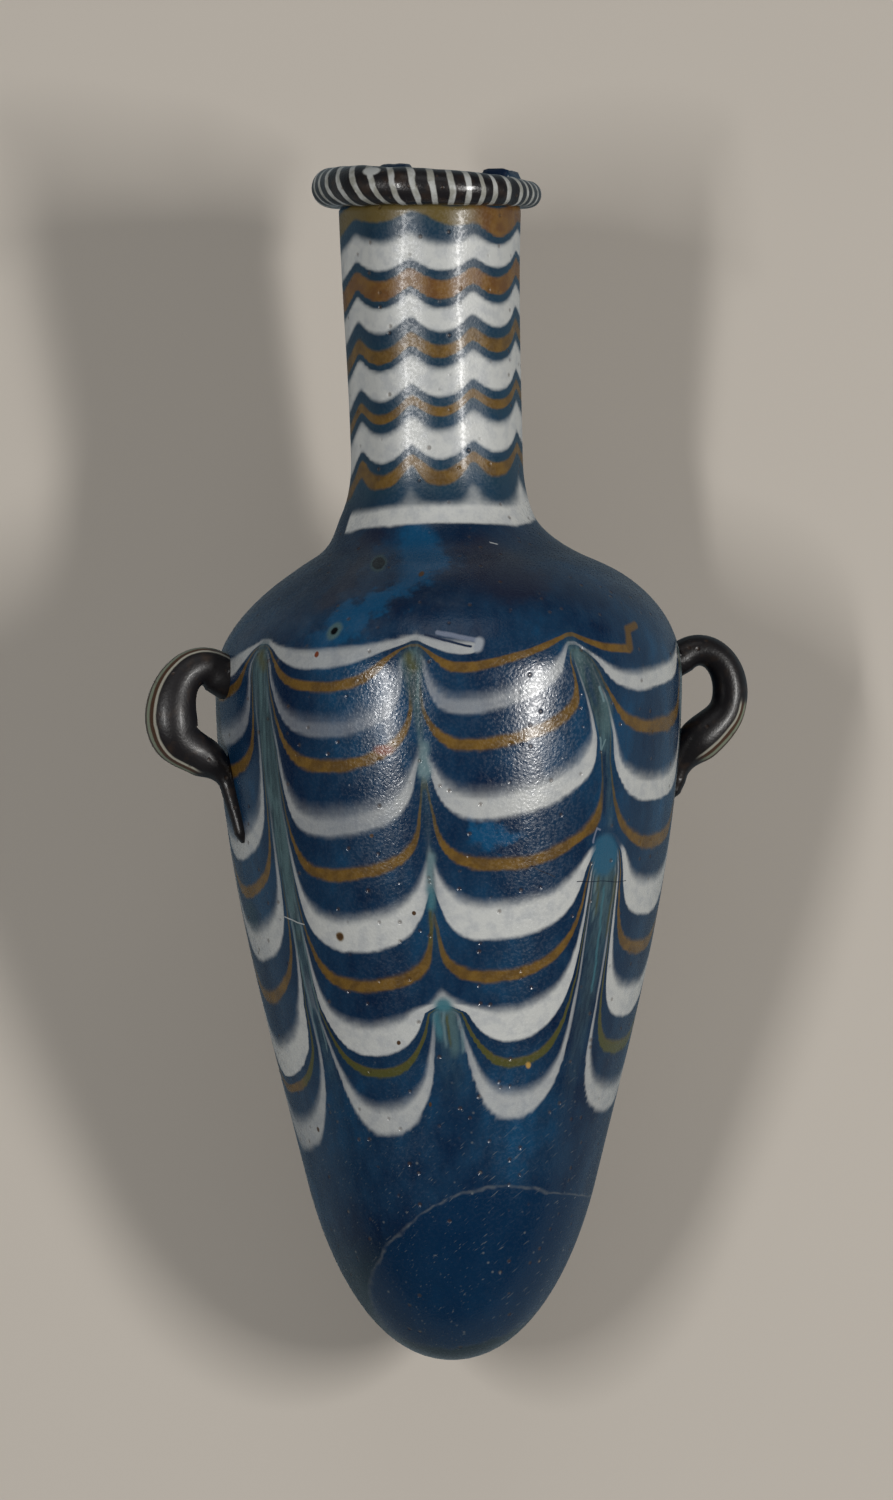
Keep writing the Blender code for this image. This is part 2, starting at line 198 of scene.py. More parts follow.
def thread_count(angle, height, threads, garlands):
    """The count of threads below each place, and how opaque the nearest thread is."""
    turn_places = [garlands[-1] - 360, *garlands, garlands[0] + 360]
    edges, counts, opacities = [], [], []
    for index, (kind, heights, thicknesses, opacity) in enumerate(threads):
        pitch = np.array(threads[max(index, 2)][1]) - np.array(threads[max(index, 2) - 2][1])
        below = threads[index - 2][1][-1] if index > 1 else heights[-1] - pitch[-1]
        above = threads[index + 2][1][0] if index + 2 < len(threads) else heights[0] + pitch[0]
        middle = np.interp(angle, turn_places, [below, *heights, above])
        around = [thicknesses[-1], *thicknesses, thicknesses[0]]
        half = np.interp(angle, turn_places, around) / 2
        density = np.interp(angle, turn_places, [opacity[-1], *opacity, opacity[0]])
        spread = WHITE_HALF if kind == "white" else OCHRE_HALF
        edges += [middle - half, middle + half]
        counts += [index / 2 - spread, index / 2 + spread]
        opacities += [density, density]
    count = counts[0] + (height - edges[0]) * OUTER_RATE
    shown = opacities[0].copy()
    for index in range(len(edges) - 1):
        low, high = edges[index], np.maximum(edges[index + 1], edges[index] + LEAST_GAP)
        t = np.clip((height - low) / (high - low), 0, 1)
        more_count, more_shown = (part[index + 1] - part[index] for part in (counts, opacities))
        count = np.where(height >= low, counts[index] + more_count * t, count)
        shown = np.where(height >= low, opacities[index] + more_shown * t, shown)
    count = np.where(height >= edges[-1], counts[-1] + (height - edges[-1]) * OUTER_RATE, count)
    return count, shown


print(len(BODY_THREADS), "turns on the body and", len(NECK_THREADS), "on the neck")

# %% [markdown]
# ## The strokes that dragged them
#
# A pointed tool was pulled up through the soft threads eight times round the body. Along a stroke the
# glass is carried upwards, most at the point's own path and less to either side. So the colour at a place
# is what lay lower down before the stroke: height minus lift. Each stroke is a path of angles by height,
# and a profile by height: how far it lifts the glass broadly and deeply, the half-width of its core, how
# far the broad lift reaches to either side, and how far the threads in its core are smeared together.

# %% Trace the strokes' paths
# In mm: the reach of the deep lift and of the thinning, how far past a core the smear goes, and the lift
# at which the threads are at their thinnest
DEEP_REACH, THIN_REACH, CORE_MARGIN, FULL_LIFT = 0.45, 0.5, 0.35, 9

# Height in mm, angle in degrees
PATH_A = (
    (20, -42.8), (26, -43.7), (28.5, -44.8), (32, -47.1),
    (37, -47.3), (46, -49.2), (55, -51), (64, -54.7),
)
PATH_B = (
    (20, 0.5), (25, 0.2), (28, -0.8), (32.4, -2.1),
    (36.9, -3.9), (45.9, -5.2), (54.9, -6.7), (63.9, -9.2),
)
PATH_C = (
    (20, 45.8), (28, 46.0), (35, 47.0), (46, 47.4), (50.4, 44.5),
    (54, 42.7), (56.2, 41.8), (59.4, 38.4), (64.5, 31.5),
)
print("the front strokes start at", [path[0] for path in (PATH_A, PATH_B, PATH_C)])

# %% List how the strokes pull
# Height, broad lift, deep lift, core to the left and right, reach to the left and right (mm), and smear
PULL_A = (
    (18.5, 0.0, 0.0, 0.2, 0.2, 1.4, 1.4, 0.0),
    (20.0, 6.0, 0.0, 0.2, 0.2, 1.5, 1.5, 0.0),
    (22.0, 9.5, 1.0, 0.2, 0.2, 1.4, 1.4, 0.0),
    (25.0, 8.0, 5.0, 0.2, 0.2, 1.4, 1.4, 0.1),
    (28.0, 6.0, 7.0, 0.2, 0.2, 1.7, 1.7, 0.3),
    (32.0, 6.3, 6.0, 0.25, 0.25, 2.0, 1.9, 0.4),
    (37.0, 6.3, 7.0, 0.3, 0.3, 1.8, 1.7, 0.5),
    (40.0, 5.0, 8.5, 0.4, 0.35, 2.0, 1.7, 0.9),
    (46.0, 4.5, 9.0, 0.6, 0.6, 2.0, 1.8, 1.0),
    (55.0, 4.5, 9.0, 0.8, 0.8, 2.0, 1.8, 1.0),
    (62.5, 4.3, 9.0, 0.85, 0.85, 2.0, 1.8, 1.0),
    (63.7, 3.0, 4.5, 0.7, 0.7, 2.0, 1.8, 0.9),
    (64.4, 1.8, 1.0, 0.4, 0.4, 2.0, 1.8, 0.6),
    (65.1, 0.9, 0.2, 0.2, 0.2, 2.0, 1.8, 0.0),
    (66.5, 0.0, 0.0, 0.2, 0.2, 2.0, 1.8, 0.0),
)
PULL_B = (
    (18.5, 0.0, 0.0, 0.8, 1.25, 1.3, 1.2, 0.0),
    (20.5, 5.0, 0.0, 0.8, 1.25, 1.4, 1.3, 0.0),
    (22.5, 8.0, 0.0, 0.8, 1.25, 1.3, 1.2, 0.0),
    (28.0, 8.0, 2.0, 0.8, 1.2, 1.3, 1.2, 0.2),
    (31.4, 6.5, 4.5, 0.7, 0.9, 1.3, 1.3, 0.8),
    (32.3, 2.8, 0.4, 0.0, 0.0, 1.8, 1.8, 0.3),
    (34.0, 2.4, 0.0, 0.0, 0.0, 1.9, 1.5, 0.0),
    (36.0, 3.0, 0.3, 0.0, 0.0, 2.0, 1.5, 0.0),
    (39.0, 4.2, 1.6, 0.0, 0.0, 2.0, 1.5, 0.2),
    (42.0, 4.4, 1.4, 0.0, 0.0, 2.0, 1.6, 0.6),
    (45.0, 4.4, 1.0, 0.0, 0.0, 2.0, 1.6, 0.8),
    (46.5, 4.4, 1.4, 0.0, 0.0, 2.0, 1.6, 0.2),
    (49.0, 4.4, 3.4, 0.1, 0.1, 2.0, 1.6, 0.2),
    (53.0, 4.4, 3.4, 0.15, 0.15, 2.0, 1.6, 0.3),
    (54.3, 4.4, 1.4, 0.0, 0.0, 2.0, 1.6, 0.7),
    (56.0, 4.4, 1.0, 0.0, 0.0, 2.0, 1.6, 0.5),
    (58.5, 4.5, 1.0, 0.1, 0.1, 2.0, 1.4, 0.8),
    (60.5, 4.5, 1.4, 0.5, 0.4, 2.0, 1.4, 1.0),
    (62.8, 4.5, 1.6, 0.8, 0.6, 2.0, 1.3, 1.0),
    (63.7, 3.2, 1.4, 0.7, 0.5, 2.0, 1.3, 0.9),
    (64.3, 1.9, 0.8, 0.3, 0.3, 2.0, 1.6, 0.3),
    (65.0, 1.2, 0.0, 0.0, 0.0, 2.2, 1.8, 0.0),
    (67.0, 0.0, 0.0, 0.0, 0.0, 2.2, 1.8, 0.0),
)
PULL_C = (
    (18.5, 0.0, 0.0, 1.0, 0.5, 1.5, 1.4, 0.0),
    (20.0, 5.0, 0.0, 0.9, 0.2, 1.5, 1.4, 0.0),
    (22.5, 9.0, 2.0, 0.9, 0.1, 1.4, 1.3, 0.0),
    (25.0, 8.0, 6.0, 0.8, 0.1, 1.5, 1.3, 0.1),
    (28.0, 7.0, 10.0, 0.8, 0.2, 1.7, 1.4, 0.2),
    (32.0, 7.5, 13.0, 1.1, 0.4, 2.0, 1.6, 0.3),
    (37.0, 7.5, 16.0, 1.4, 0.6, 2.1, 1.6, 0.4),
    (42.0, 6.5, 20.0, 1.6, 0.7, 2.2, 1.6, 0.7),
    (44.2, 6.0, 20.0, 1.7, 0.7, 2.2, 1.6, 0.9),
    (45.8, 6.0, 16.0, 1.3, 0.5, 2.4, 1.6, 1.0),
    (46.7, 5.5, 5.0, 0.8, 0.3, 2.8, 1.7, 0.8),
    (47.6, 4.4, 0.6, 0.2, 0.25, 3.4, 1.8, 0.2),
    (50.0, 5.0, 1.8, 0.1, 0.2, 4.2, 1.8, 0.3),
    (54.0, 5.0, 5.8, 0.15, 0.25, 4.5, 1.8, 0.6),
    (56.5, 5.0, 8.0, 0.25, 0.6, 4.5, 1.8, 0.9),
    (59.0, 4.8, 10.0, 0.3, 0.9, 4.5, 1.8, 1.0),
    (62.8, 4.5, 10.0, 0.3, 0.9, 4.5, 1.8, 1.0),
    (63.9, 3.2, 4.0, 0.3, 0.5, 4.2, 2.0, 0.8),
    (64.8, 2.5, 0.6, 0.2, 0.2, 4.0, 2.4, 0.2),
    (66.0, 1.2, 0.0, 0.2, 0.2, 4.0, 2.4, 0.0),
    (68.0, 0.0, 0.0, 0.2, 0.2, 4.0, 2.4, 0.0),
)
NECK_PULL = (
    (75.5, 0.0, 0.0, 0.0, 0.0, 1.3, 1.3, 0.0),
    (77.0, 0.25, 0.0, 0.0, 0.0, 1.2, 1.2, 0.0),
    (78.3, 1.35, 0.0, 0.0, 0.0, 1.4, 1.4, 0.0),
    (80.5, 2.3, 0.0, 0.0, 0.0, 1.6, 1.6, 0.0),
    (96.0, 2.2, 0.0, 0.0, 0.0, 1.7, 1.7, 0.0),
    (101.0, 1.5, 0.0, 0.0, 0.0, 1.7, 1.7, 0.0),
    (104.0, 1.0, 0.0, 0.0, 0.0, 1.7, 1.7, 0.0),
)
print("the highest lift is", max(row[1] + row[2] for row in PULL_A + PULL_B + PULL_C), "mm")

# %% [markdown]
# The front strokes go on round the back with the same profiles: only their angles change. Each place then
# asks every stroke how far it is from its path, and adds up what it lifts.

# %% Drag the glass


def turned_path(path, by):
    """The same path, made again further round the vessel."""
    return tuple((height, angle + by) for height, angle in path)


# The eight strokes of the body, from the back's left round to its right, and the neck's in the same order
BODY_STROKES = (
    (turned_path(PATH_B, -132), PULL_B),
    (turned_path(PATH_C, -136), PULL_C),
    (PATH_A, PULL_A),
    (PATH_B, PULL_B),
    (PATH_C, PULL_C),
    (turned_path(PATH_A, 139), PULL_A),
    (turned_path(PATH_B, 138), PULL_B),
    (turned_path(PATH_C, 134), PULL_C),
)
NECK_ANGLES = (-152, -105, -57, -13, 29, 75, 119, 163)

# How many degrees a stroke of the neck strays from its angle, at its foot and at its top
NECK_FOOT, NECK_TOP = -6, 1
NECK_STROKES = tuple((((74, angle + NECK_FOOT), (104, angle + NECK_TOP)), NECK_PULL) for angle in NECK_ANGLES)


def across(angle, middle):
    """The signed way round from middle to angle, in degrees."""
    return (angle - middle + 180) % 360 - 180


def from_path(path, angle, height, radius):
    """How far round the wall a place is from a path, negative to its left. All lengths are in mm."""
    heights, angles = zip(*path)
    return np.radians(across(angle, np.interp(height, heights, angles))) * radius


def drag(angle, height, radius, strokes, roundness):
    """How far the strokes lift, smear and thin the glass at each place. Lift and roundness are in mm."""
    lift, smear, thinned = (np.zeros_like(angle) for _ in range(3))
    for path, pull in strokes:
        arc = from_path(path, angle, height, radius)
        levels, *columns = zip(*pull)
        at_height = (np.interp(height, levels, column) for column in columns)
        broad, deep, left_core, right_core, left, right, mixed = at_height
        core, reach = np.where(arc < 0, left_core, right_core), np.where(arc < 0, left, right)
        beyond = np.hypot(np.maximum(np.abs(arc) - core, 0), roundness) - roundness
        lift += broad * np.exp(-beyond / reach) + deep * np.exp(-beyond / DEEP_REACH)
        smear = np.maximum(smear, mixed * np.exp(-((np.abs(arc) / (core + CORE_MARGIN)) ** 4)))
        share = np.clip((broad + deep) / FULL_LIFT, 0, 1)
        thinned = np.maximum(thinned, share * np.exp(-beyond / THIN_REACH))
    return lift, smear, thinned


print(len(BODY_STROKES), "strokes up the body and", len(NECK_STROKES), "up the neck")

# %% [markdown]
# ## A grid that follows the strokes
#
# The colours change fast beside a stroke and slowly in the middle of a garland. An even grid would waste
# its faces, so the columns of this one run up the strokes and crowd towards them, and its rows crowd where
# a stroke ends. That keeps the wall under the limit of faces and still gives crisp threads.

# %% Lay out columns and rows
COLUMNS_PER_STROKE = 46
CROWDING = 0.72
ROW_STEP, FINE_ROW_STEP = 0.00052, 0.00020
STROKE_HEADS, HEAD_REACH = (0.0320, 0.0468, 0.0638), 0.0012

# By height, how much wider than ROW_STEP the rows stand: no wider where they carry the threads
ROW_SPREAD = (
    (0.0, 0.9), (0.016, 0.6), (0.019, 0.0), (0.0665, 0.0),
    (0.068, 0.7), (0.073, 0.6), (0.0755, -0.3), (0.102, -0.3),
)


def column_angles(heights):
    """Angles in degrees of every column at each height, as rows of a table."""
    lines = []
    for (path, _), neck_angle in zip(BODY_STROKES, NECK_ANGLES):
        knots = [(height / 1000, angle) for height, angle in path]
        knots += [(SHOULDER_HEIGHT, neck_angle + NECK_FOOT), (MOUTH_HEIGHT, neck_angle + NECK_TOP)]
        lines.append(np.interp(heights, *zip(*knots)))
    lines.append(lines[0] + 360)
    t = np.arange(COLUMNS_PER_STROKE) / COLUMNS_PER_STROKE
    share = t - CROWDING * np.sin(2 * pi * t) / (2 * pi)
    spans = [low[:, None] + (high - low)[:, None] * share for low, high in zip(lines, lines[1:])]
    return np.hstack(spans)


def outer_rows():
    """(radius, height) of the rows up the outside."""
    steps = np.linalg.norm(np.diff(fine_outline, axis=0), axis=1)
    gone = np.concatenate([[0], np.cumsum(steps)])
    way, ways = ROW_STEP, []
    while way < gone[-1]:
        ways.append(way)
        height = np.interp(way, gone, fine_outline[:, 1])
        near = max(exp(-((height - head) / HEAD_REACH) ** 2) for head in STROKE_HEADS)
        way += ROW_STEP * (1 + ease(height, ROW_SPREAD)) - (ROW_STEP - FINE_ROW_STEP) * near
    ways.append(gone[-1])
    return np.column_stack([np.interp(ways, gone, column) for column in fine_outline.T])


rows = outer_rows()
print(len(rows), "rows of", COLUMNS_PER_STROKE * len(BODY_STROKES), "columns up the outside")

# %% [markdown]
# ## The lip and the hollow
#
# The lip carries a groove in which the cord lies. Above the cord most of the lip has broken away, so its
# height changes round the mouth. The section is therefore worked out anew at each angle. Inside, the
# outline comes back down at a true wall's thickness, because someone can look into the mouth.

# %% Shape the lip and the hollow
SEAM = 0.0003
CORD_THICKNESS, CORD_SWELL, CORD_THICKEST_AT = 0.0029, 0.0007, radians(-60)
CORD_OVERHANG = 0.00065
CORD_RING_RADIUS = MOUTH_RADIUS + CORD_OVERHANG
CORD_SEAT_HEIGHT = MOUTH_HEIGHT + SEAM
LIP_BORE = CORD_RING_RADIUS - (CORD_THICKNESS + CORD_SWELL) / 2 - SEAM - LIP_WALL
LIP_LOSS, LIP_RAGGEDNESS, LIP_EDGE_DROP = 0.0008, 0.00018, 0.0003

# The groove's points, and how far it goes up the cord, as sines: at most, more per metre of lip, at least
GROOVE_POINTS, GROOVE_MOST, GROOVE_MORE, GROOVE_LEAST = 8, 0.75, 110, -0.2

# Points per span of the hollow, in the neck and in the body
NECK_STEPS, BODY_STEPS = 4, 5

# What still stands of the lip: its middle and half its width in degrees, and its height past the loss
LIP_REMAINS = ((-27, 15, 0.0003), (70, 16, 0.0009), (165, 40, 0.0006))

# The broken top from the groove to the bore: the share of the way, and how far it drops there
BROKEN_TOP = ((0.12, 0.00016), (0.3, 0.0), (0.8, 0.0), (0.95, 0.00012), (1.0, 0.0004))


def cord_radius(angle):
    """Half the cord's thickness at this angle, in radians, round the lip."""
    return (CORD_THICKNESS + CORD_SWELL * np.cos(angle - CORD_THICKEST_AT)) / 2


def cord_height(angle):
    """Height of the cord's middle."""
    return CORD_SEAT_HEIGHT + cord_radius(angle)


def lip_section(angle):
    """(radius, height) round the lip at one angle in radians: groove, broken top and the mouth's inside."""
    thick = cord_radius(angle)
    kept = 0.0
    for middle, half, stand in LIP_REMAINS:
        away = abs(across(degrees(angle), middle))
        kept = max(kept, float(ease(away, ((half * 0.6, 1.0), (half, 0.0)))) * (LIP_LOSS + stand))
    ragged = noise.noise(Vector((sin(angle), cos(angle), 0.3)) * 9) * LIP_RAGGEDNESS
    top = thick - LIP_LOSS + kept + ragged
    groove, middle = thick + SEAM * 0.2, cord_height(angle)
    start = -asin(min(1.0, max(0.0, 1 - ((CORD_RING_RADIUS - MOUTH_RADIUS) / groove) ** 2)) ** 0.5)
    finish = max(GROOVE_LEAST, (top - LIP_EDGE_DROP) / groove)
    finish = asin(min(GROOVE_MOST + kept * GROOVE_MORE, finish))
    turns = np.linspace(start, finish, GROOVE_POINTS)
    points = [(CORD_RING_RADIUS - groove * cos(turn), middle + groove * sin(turn)) for turn in turns]
    rim = points[-1][0]
    for share, drop in BROKEN_TOP:
        points.append((rim - (rim - LIP_BORE) * share, middle + top - drop))
    return points[1:]


def inset(point, slope, thickness):
    """Moves a point of the outline into the glass, square to the outline."""
    along = Vector((slope, 1)).normalized()
    return (point[0] - along.y * thickness, point[1] + along.x * thickness)


def inner_outline():
    """(radius, height) of the hollow from the mouth down to the floor."""
    mouth = (LIP_BORE, MOUTH_HEIGHT)
    root = (NECK_RADIUS - NECK_WALL, NECK_HEIGHT - NECK_WALL * 0.5)
    edge = inset((SHOULDER_RADIUS, SHOULDER_HEIGHT), SHOULDER_SLOPE, WALL)
    belly = (BELLY_RADIUS - WALL, BELLY_HEIGHT)
    heel = inset((HEEL_RADIUS, HEEL_HEIGHT), FLANK_SLOPE, WALL)
    few, more = NECK_STEPS, BODY_STEPS
    points = [mouth]
    points += bend(mouth, (0, -1), root, (0, -1), 0.33, 0.33, few)
    points += bend(root, (0, -1), edge, (-SHOULDER_SLOPE, -1), 0.24, 0.40, few)
    points += bend(edge, (-SHOULDER_SLOPE, -1), belly, (0, -1), 0.33, 0.37, more)
    points += bend(belly, (0, -1), heel, (-FLANK_SLOPE, -1), 0.35, 0.29, more)
    points += bend(heel, (-FLANK_SLOPE, -1), (0.0, BASE_THICKNESS), (-1, 0), 0.38, 0.33, more)
    return points


print("mouth:", round(LIP_BORE * 2000, 1), "mm wide inside")

# %% [markdown]
# ## Building the vessel's mesh
#
# All rows and columns become arrays of radius, height and angle. Strokes leave shallow flutes, so the
# radius dips a little along them, and the neck swells softly between. Then the arrays turn into places.
# Where the vessel has worn flat against what it lies on, no point may sink below the ground.

# %% Build the vessel
FLUTE_DEPTH, FLUTE_WIDTH = 0.00007, 1.1
NECK_SWELL, NECK_SWELL_DEGREES = 0.00013, 11
BODY_FLUTES = ((0.020, 0.0), (0.030, 1.0), (0.060, 1.0), (0.066, 0.0))
NECK_FLUTES = ((0.076, 0.0), (0.081, 1.0), (0.099, 1.0), (0.103, 0.3))


def wall_relief(angle, height, radius):
    """Shallow flutes along the strokes, in metres, taken from the radius."""
    body, neck = ease(height, BODY_FLUTES), ease(height, NECK_FLUTES)
    relief = np.zeros_like(radius)
    for path, _ in BODY_STROKES:
        arc = from_path(path, angle, height * 1000, radius * 1000)
        relief -= body * FLUTE_DEPTH * np.exp(-((arc / FLUTE_WIDTH) ** 2))
    for neck_angle in NECK_ANGLES:
        away = across(angle, neck_angle)
        relief -= neck * NECK_SWELL * np.exp(-((away / NECK_SWELL_DEGREES) ** 2))
    return relief


def vessel_rows():
    """Radius, height and angle of every point of the vessel's skin, as tables of rows and columns."""
    angles = column_angles(rows[:, 1])
    columns = angles.shape[1]
    radii, heights = (np.repeat(rows[:, part, None], columns, axis=1) for part in (0, 1))
    lip = np.array([lip_section(radians(angle)) for angle in angles[-1]])
    inner = np.array(inner_outline())
    tables = []
    for part, outer in enumerate((radii + wall_relief(angles, heights, radii), heights)):
        hollow = np.repeat(inner[:, part, None], columns, axis=1)
        tables.append(np.vstack([np.zeros((1, columns)), outer, lip[:, :, part].T, hollow]))
    past_outside = lip.shape[1] + len(inner)
    tables.append(np.vstack([angles[:1], angles, np.repeat(angles[-1:], past_outside, axis=0)]))
    return tables


def place_all(radius, height, angle):
    """Places in the vessel's frame, from tables of radius, height and angle in degrees."""
    turn = np.radians(angle)
    return np.stack([radius * np.sin(turn) + stray(height), height, radius * np.cos(turn)], axis=-1)


def rest_on_ground(points):
    """Lifts whatever would be under the ground in the laid-down frame, which leaves the worn flat."""
    world = points @ lay_down[:3, :3].T + lay_down[:3, 3]
    world[..., 2] = np.maximum(world[..., 2], 0.0)
    return (world - lay_down[:3, 3]) @ lay_down[:3, :3]


vessel_radius, vessel_height, vessel_angle = vessel_rows()
vessel_points = rest_on_ground(place_all(vessel_radius, vessel_height, vessel_angle))
print("vessel:", vessel_points.shape[0], "rows of", vessel_points.shape[1], "places")

# %% [markdown]
# A finish can read numbers that are stored on a mesh. They are stored at the corners of the faces and not at
# the vertices, because the angle jumps from one end of its range to the other where the columns meet. The
# skin of every piece is made by one function: faces as rings of (row, column) corners, then the numbers.

# %% Skin a grid and store its numbers


def store(mesh, name, values, domain="CORNER"):
    """Stores numbers, or rows of three, on a mesh for its finish to read."""
    kind, key = ("FLOAT", "value") if values.ndim == 1 else ("FLOAT_VECTOR", "vector")
    made = mesh.attributes.new(name, kind, domain)
    made.data.foreach_set(key, values.astype(np.float32).ravel())


def four_corners(row_count, columns):
    """The rings of corners of a grid's faces, as (row, column)."""
    rings = []
    for row in range(row_count):
        for column in range(columns):
            rings.append([(row, column), (row, column + 1), (row + 1, column + 1), (row + 1, column)])
    return rings


def skin(name, spots, rings, spot_number, values):
    """A smooth mesh. spot_number turns a corner into a spot, and values into the numbers stored there."""
    mesh = bpy.data.meshes.new(name)
    mesh.from_pydata(spots.tolist(), [], [[spot_number(*corner) for corner in ring] for ring in rings])
    row, column = np.array([corner for ring in rings for corner in ring]).T
    for value_name, value in values.items():
        store(mesh, value_name, value(row, column))
    mesh.shade_smooth()
    return mesh


def closed_skin(name, points, tables):
    """A skin over rows and columns of points, whose first and last rows are single points."""
    last_row, columns = points.shape[0] - 1, points.shape[1]
    spots = np.vstack([points[0, :1], points[1:-1].reshape(-1, 3), points[-1, :1]])
    rings = four_corners(last_row, columns)
    for ring in rings[:columns]:
        del ring[1]
    for ring in rings[-columns:]:
        del ring[2]

    def spot_number(row, column):
        return 0 if row == 0 else min(1 + (row - 1) * columns + column % columns, len(spots) - 1)

    values = {key: lambda row, column, table=table: table[row, column] for key, table in tables.items()}
    return skin(name, spots, rings, spot_number, values)


print("a grid of 2 by 3 faces has", len(four_corners(2, 3)), "rings of corners")

# %% [markdown]
# The vessel's own numbers come from the strokes and the threads. The strokes' lift says which thread is seen
# at a corner: the count is taken that much lower down. Body and neck are counted apart, because each has its
# own spiral and its own strokes.

# %% Work out the vessel's numbers
BODY_ROUNDNESS, NECK_ROUNDNESS = 0.12, 0.6
BODY_TOP_MM, NECK_FOOT_MM = 70, 72

# The counts stop here, short of the next thread, which was never laid
BODY_COUNTS, NECK_COUNTS = (-0.25, 5.25), (-0.25, 4.78)


def vessel_values(radius, height, angle):
    """The numbers that the glass finish reads at each corner of the mesh."""
    wide_angle = np.hstack([angle, angle[:, :1] + 360])
    wide_height, wide_radius = (np.hstack([part, part[:, :1]]) * 1000 for part in (height, radius))
    lift, smear, thinned = drag(wide_angle, wide_height, wide_radius, BODY_STROKES, BODY_ROUNDNESS)
    body, body_opacity = thread_count(wide_angle, wide_height - lift, BODY_THREADS, GARLANDS)
    neck_lift = drag(wide_angle, wide_height, wide_radius, NECK_STROKES, NECK_ROUNDNESS)[0]
    neck, neck_opacity = thread_count(wide_angle, wide_height - neck_lift, NECK_THREADS, NECK_GARLANDS)
    inside = np.zeros_like(wide_height)
    inside[len(rows) + GROOVE_POINTS :] = 1
    return {
        "body_threads": np.clip(body, *BODY_COUNTS),
        "neck_threads": np.clip(neck, *NECK_COUNTS),
        "opacity": np.where(wide_height > NECK_FOOT_MM, neck_opacity, body_opacity),
        "smear": smear * (wide_height < BODY_TOP_MM),
        "thinned": thinned * (wide_height < BODY_TOP_MM),
        "turn": wide_angle,
        "inside": inside,
    }


vessel_numbers = vessel_values(vessel_radius, vessel_height, vessel_angle)
vessel_mesh = closed_skin("vessel", vessel_points, vessel_numbers)
print("vessel:", sum(len(face.vertices) - 2 for face in vessel_mesh.polygons), "triangles")

# %% [markdown]
# Each mesh is drawn upright in the vessel's frame and then laid down as it is. Its finish still has to know
# where it was on the upright vessel, so that place is stored before the mesh is turned. Every piece rides on
# the one body, and takes the place of its own solid.

# %% Lay a piece down


def vertex_places(mesh):
    """The places of a mesh's vertices, one row each."""
    places = np.zeros(len(mesh.vertices) * 3, np.float32)
    mesh.vertices.foreach_get("co", places)
    return places.reshape(-1, 3)


def put_in_scene(name, data):
    """An object for a mesh, a light or a camera."""
    made = bpy.data.objects.new(name, data)
    bpy.context.scene.collection.objects.link(made)
    return made


def lay(name, mesh, material, node):
    """Lays down a mesh that is drawn in the vessel's frame. Its finish still reads its own upright place."""
    store(mesh, "own_place", vertex_places(mesh), "POINT")
    mesh.transform(vessel_matrix)
    mesh.materials.append(material)
    made = put_in_scene(name, mesh)
    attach(made, "root")
    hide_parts(node)
    return made


print("the vessel's mesh has", len(vertex_places(vessel_mesh)), "places to remember")

# %% [markdown]
# ## The cord round the lip
#
# A rod of black glass with a white thread was twisted and laid round the lip. It could be a curve with a
# bevel, but a swept ring gives room for a number that counts the white thread's turns, which the finish
# turns into the spiral stripe.

# %% Build the cord
CORD_STEPS, CORD_SIDES = 360, 32
CORD_LUMPS = 0.00010

# Angle round the lip in degrees and the white thread's turns up to there, then its twist from angle to angle
CORD_COUNT = (
    (0, -0.2), (1.9, 0), (20.4, 2), (34.9, 4), (54.2, 6), (67.5, 8), (300, 33), (331.1, 36), (360, 38.8),
)
CORD_TWIST = ((0, 0.9), (12, 0.5), (60, 0.35), (180, 1.5), (270, 3.4), (325, 3.2), (345, 1.7), (360, 0.9))


def sweep(name, centres, normals, binormals, half, sides, closed, values):
    """Sweeps a round section along centres. values gives a number for each step and side, by name."""
    turns, count = np.arange(sides) * 2 * pi / sides, len(centres)
    ring_cos, ring_sin = (half[:, None, None] * part(turns)[None, :, None] for part in (np.cos, np.sin))
    spots = centres[:, None, :] + normals[:, None, :] * ring_cos + binormals[:, None, :] * ring_sin
    rings = four_corners(count if closed else count - 1, sides)
    if not closed:
        rings.append([(0, side) for side in range(sides - 1, -1, -1)])
        rings.append([(count - 1, side) for side in range(sides)])

    def spot_number(step, side):
        return step % count * sides + side % sides

    return skin(name, spots.reshape(-1, 3), rings, spot_number, values)


def cord_stripe(step, side):
    """Counts the white thread's turns. The twist changes round the lip, and its seam is on the inside."""
    angle = step * 360 / CORD_STEPS
    return np.interp(angle, *zip(*CORD_COUNT)) + ease(angle, CORD_TWIST) * (side / CORD_SIDES - 0.5)


def cord_mesh():
    """The cord: a ring that swells to one side, slightly lumpy, as a twisted rod is."""
    turns = np.arange(CORD_STEPS) * 2 * pi / CORD_STEPS
    lumps = np.array([noise.noise(Vector((sin(turn), cos(turn), 0)) * 6) for turn in turns]) * CORD_LUMPS
    centres = place_all(np.full(CORD_STEPS, CORD_RING_RADIUS), cord_height(turns), np.degrees(turns))
    inwards = -np.stack([np.sin(turns), np.zeros(CORD_STEPS), np.cos(turns)], axis=-1)
    downwards = np.tile((0.0, -1.0, 0.0), (CORD_STEPS, 1))
    values = {
        "stripe": cord_stripe,
        "around": lambda step, side: side / CORD_SIDES,
        "turn": lambda step, side: step * 360 / CORD_STEPS,
    }
    half = cord_radius(turns) + lumps
    return sweep("rim_cord", centres, inwards, downwards, half, CORD_SIDES, True, values)


rim_cord_mesh = cord_mesh()
print("cord:", len(rim_cord_mesh.polygons), "faces,", CORD_COUNT[-1][1] - CORD_COUNT[0][1], "turns of white")

# %% [markdown]
# ## The handles
#
# Each handle is a blob of black glass that was pressed on, drawn out into a loop, pressed on again and
# pulled away downwards, which left a tail. A pale thread runs along its outer edge. The loop is drawn in
# the plane of radius and height as part of an ellipse, then a bend to the wall, then the tail along it.

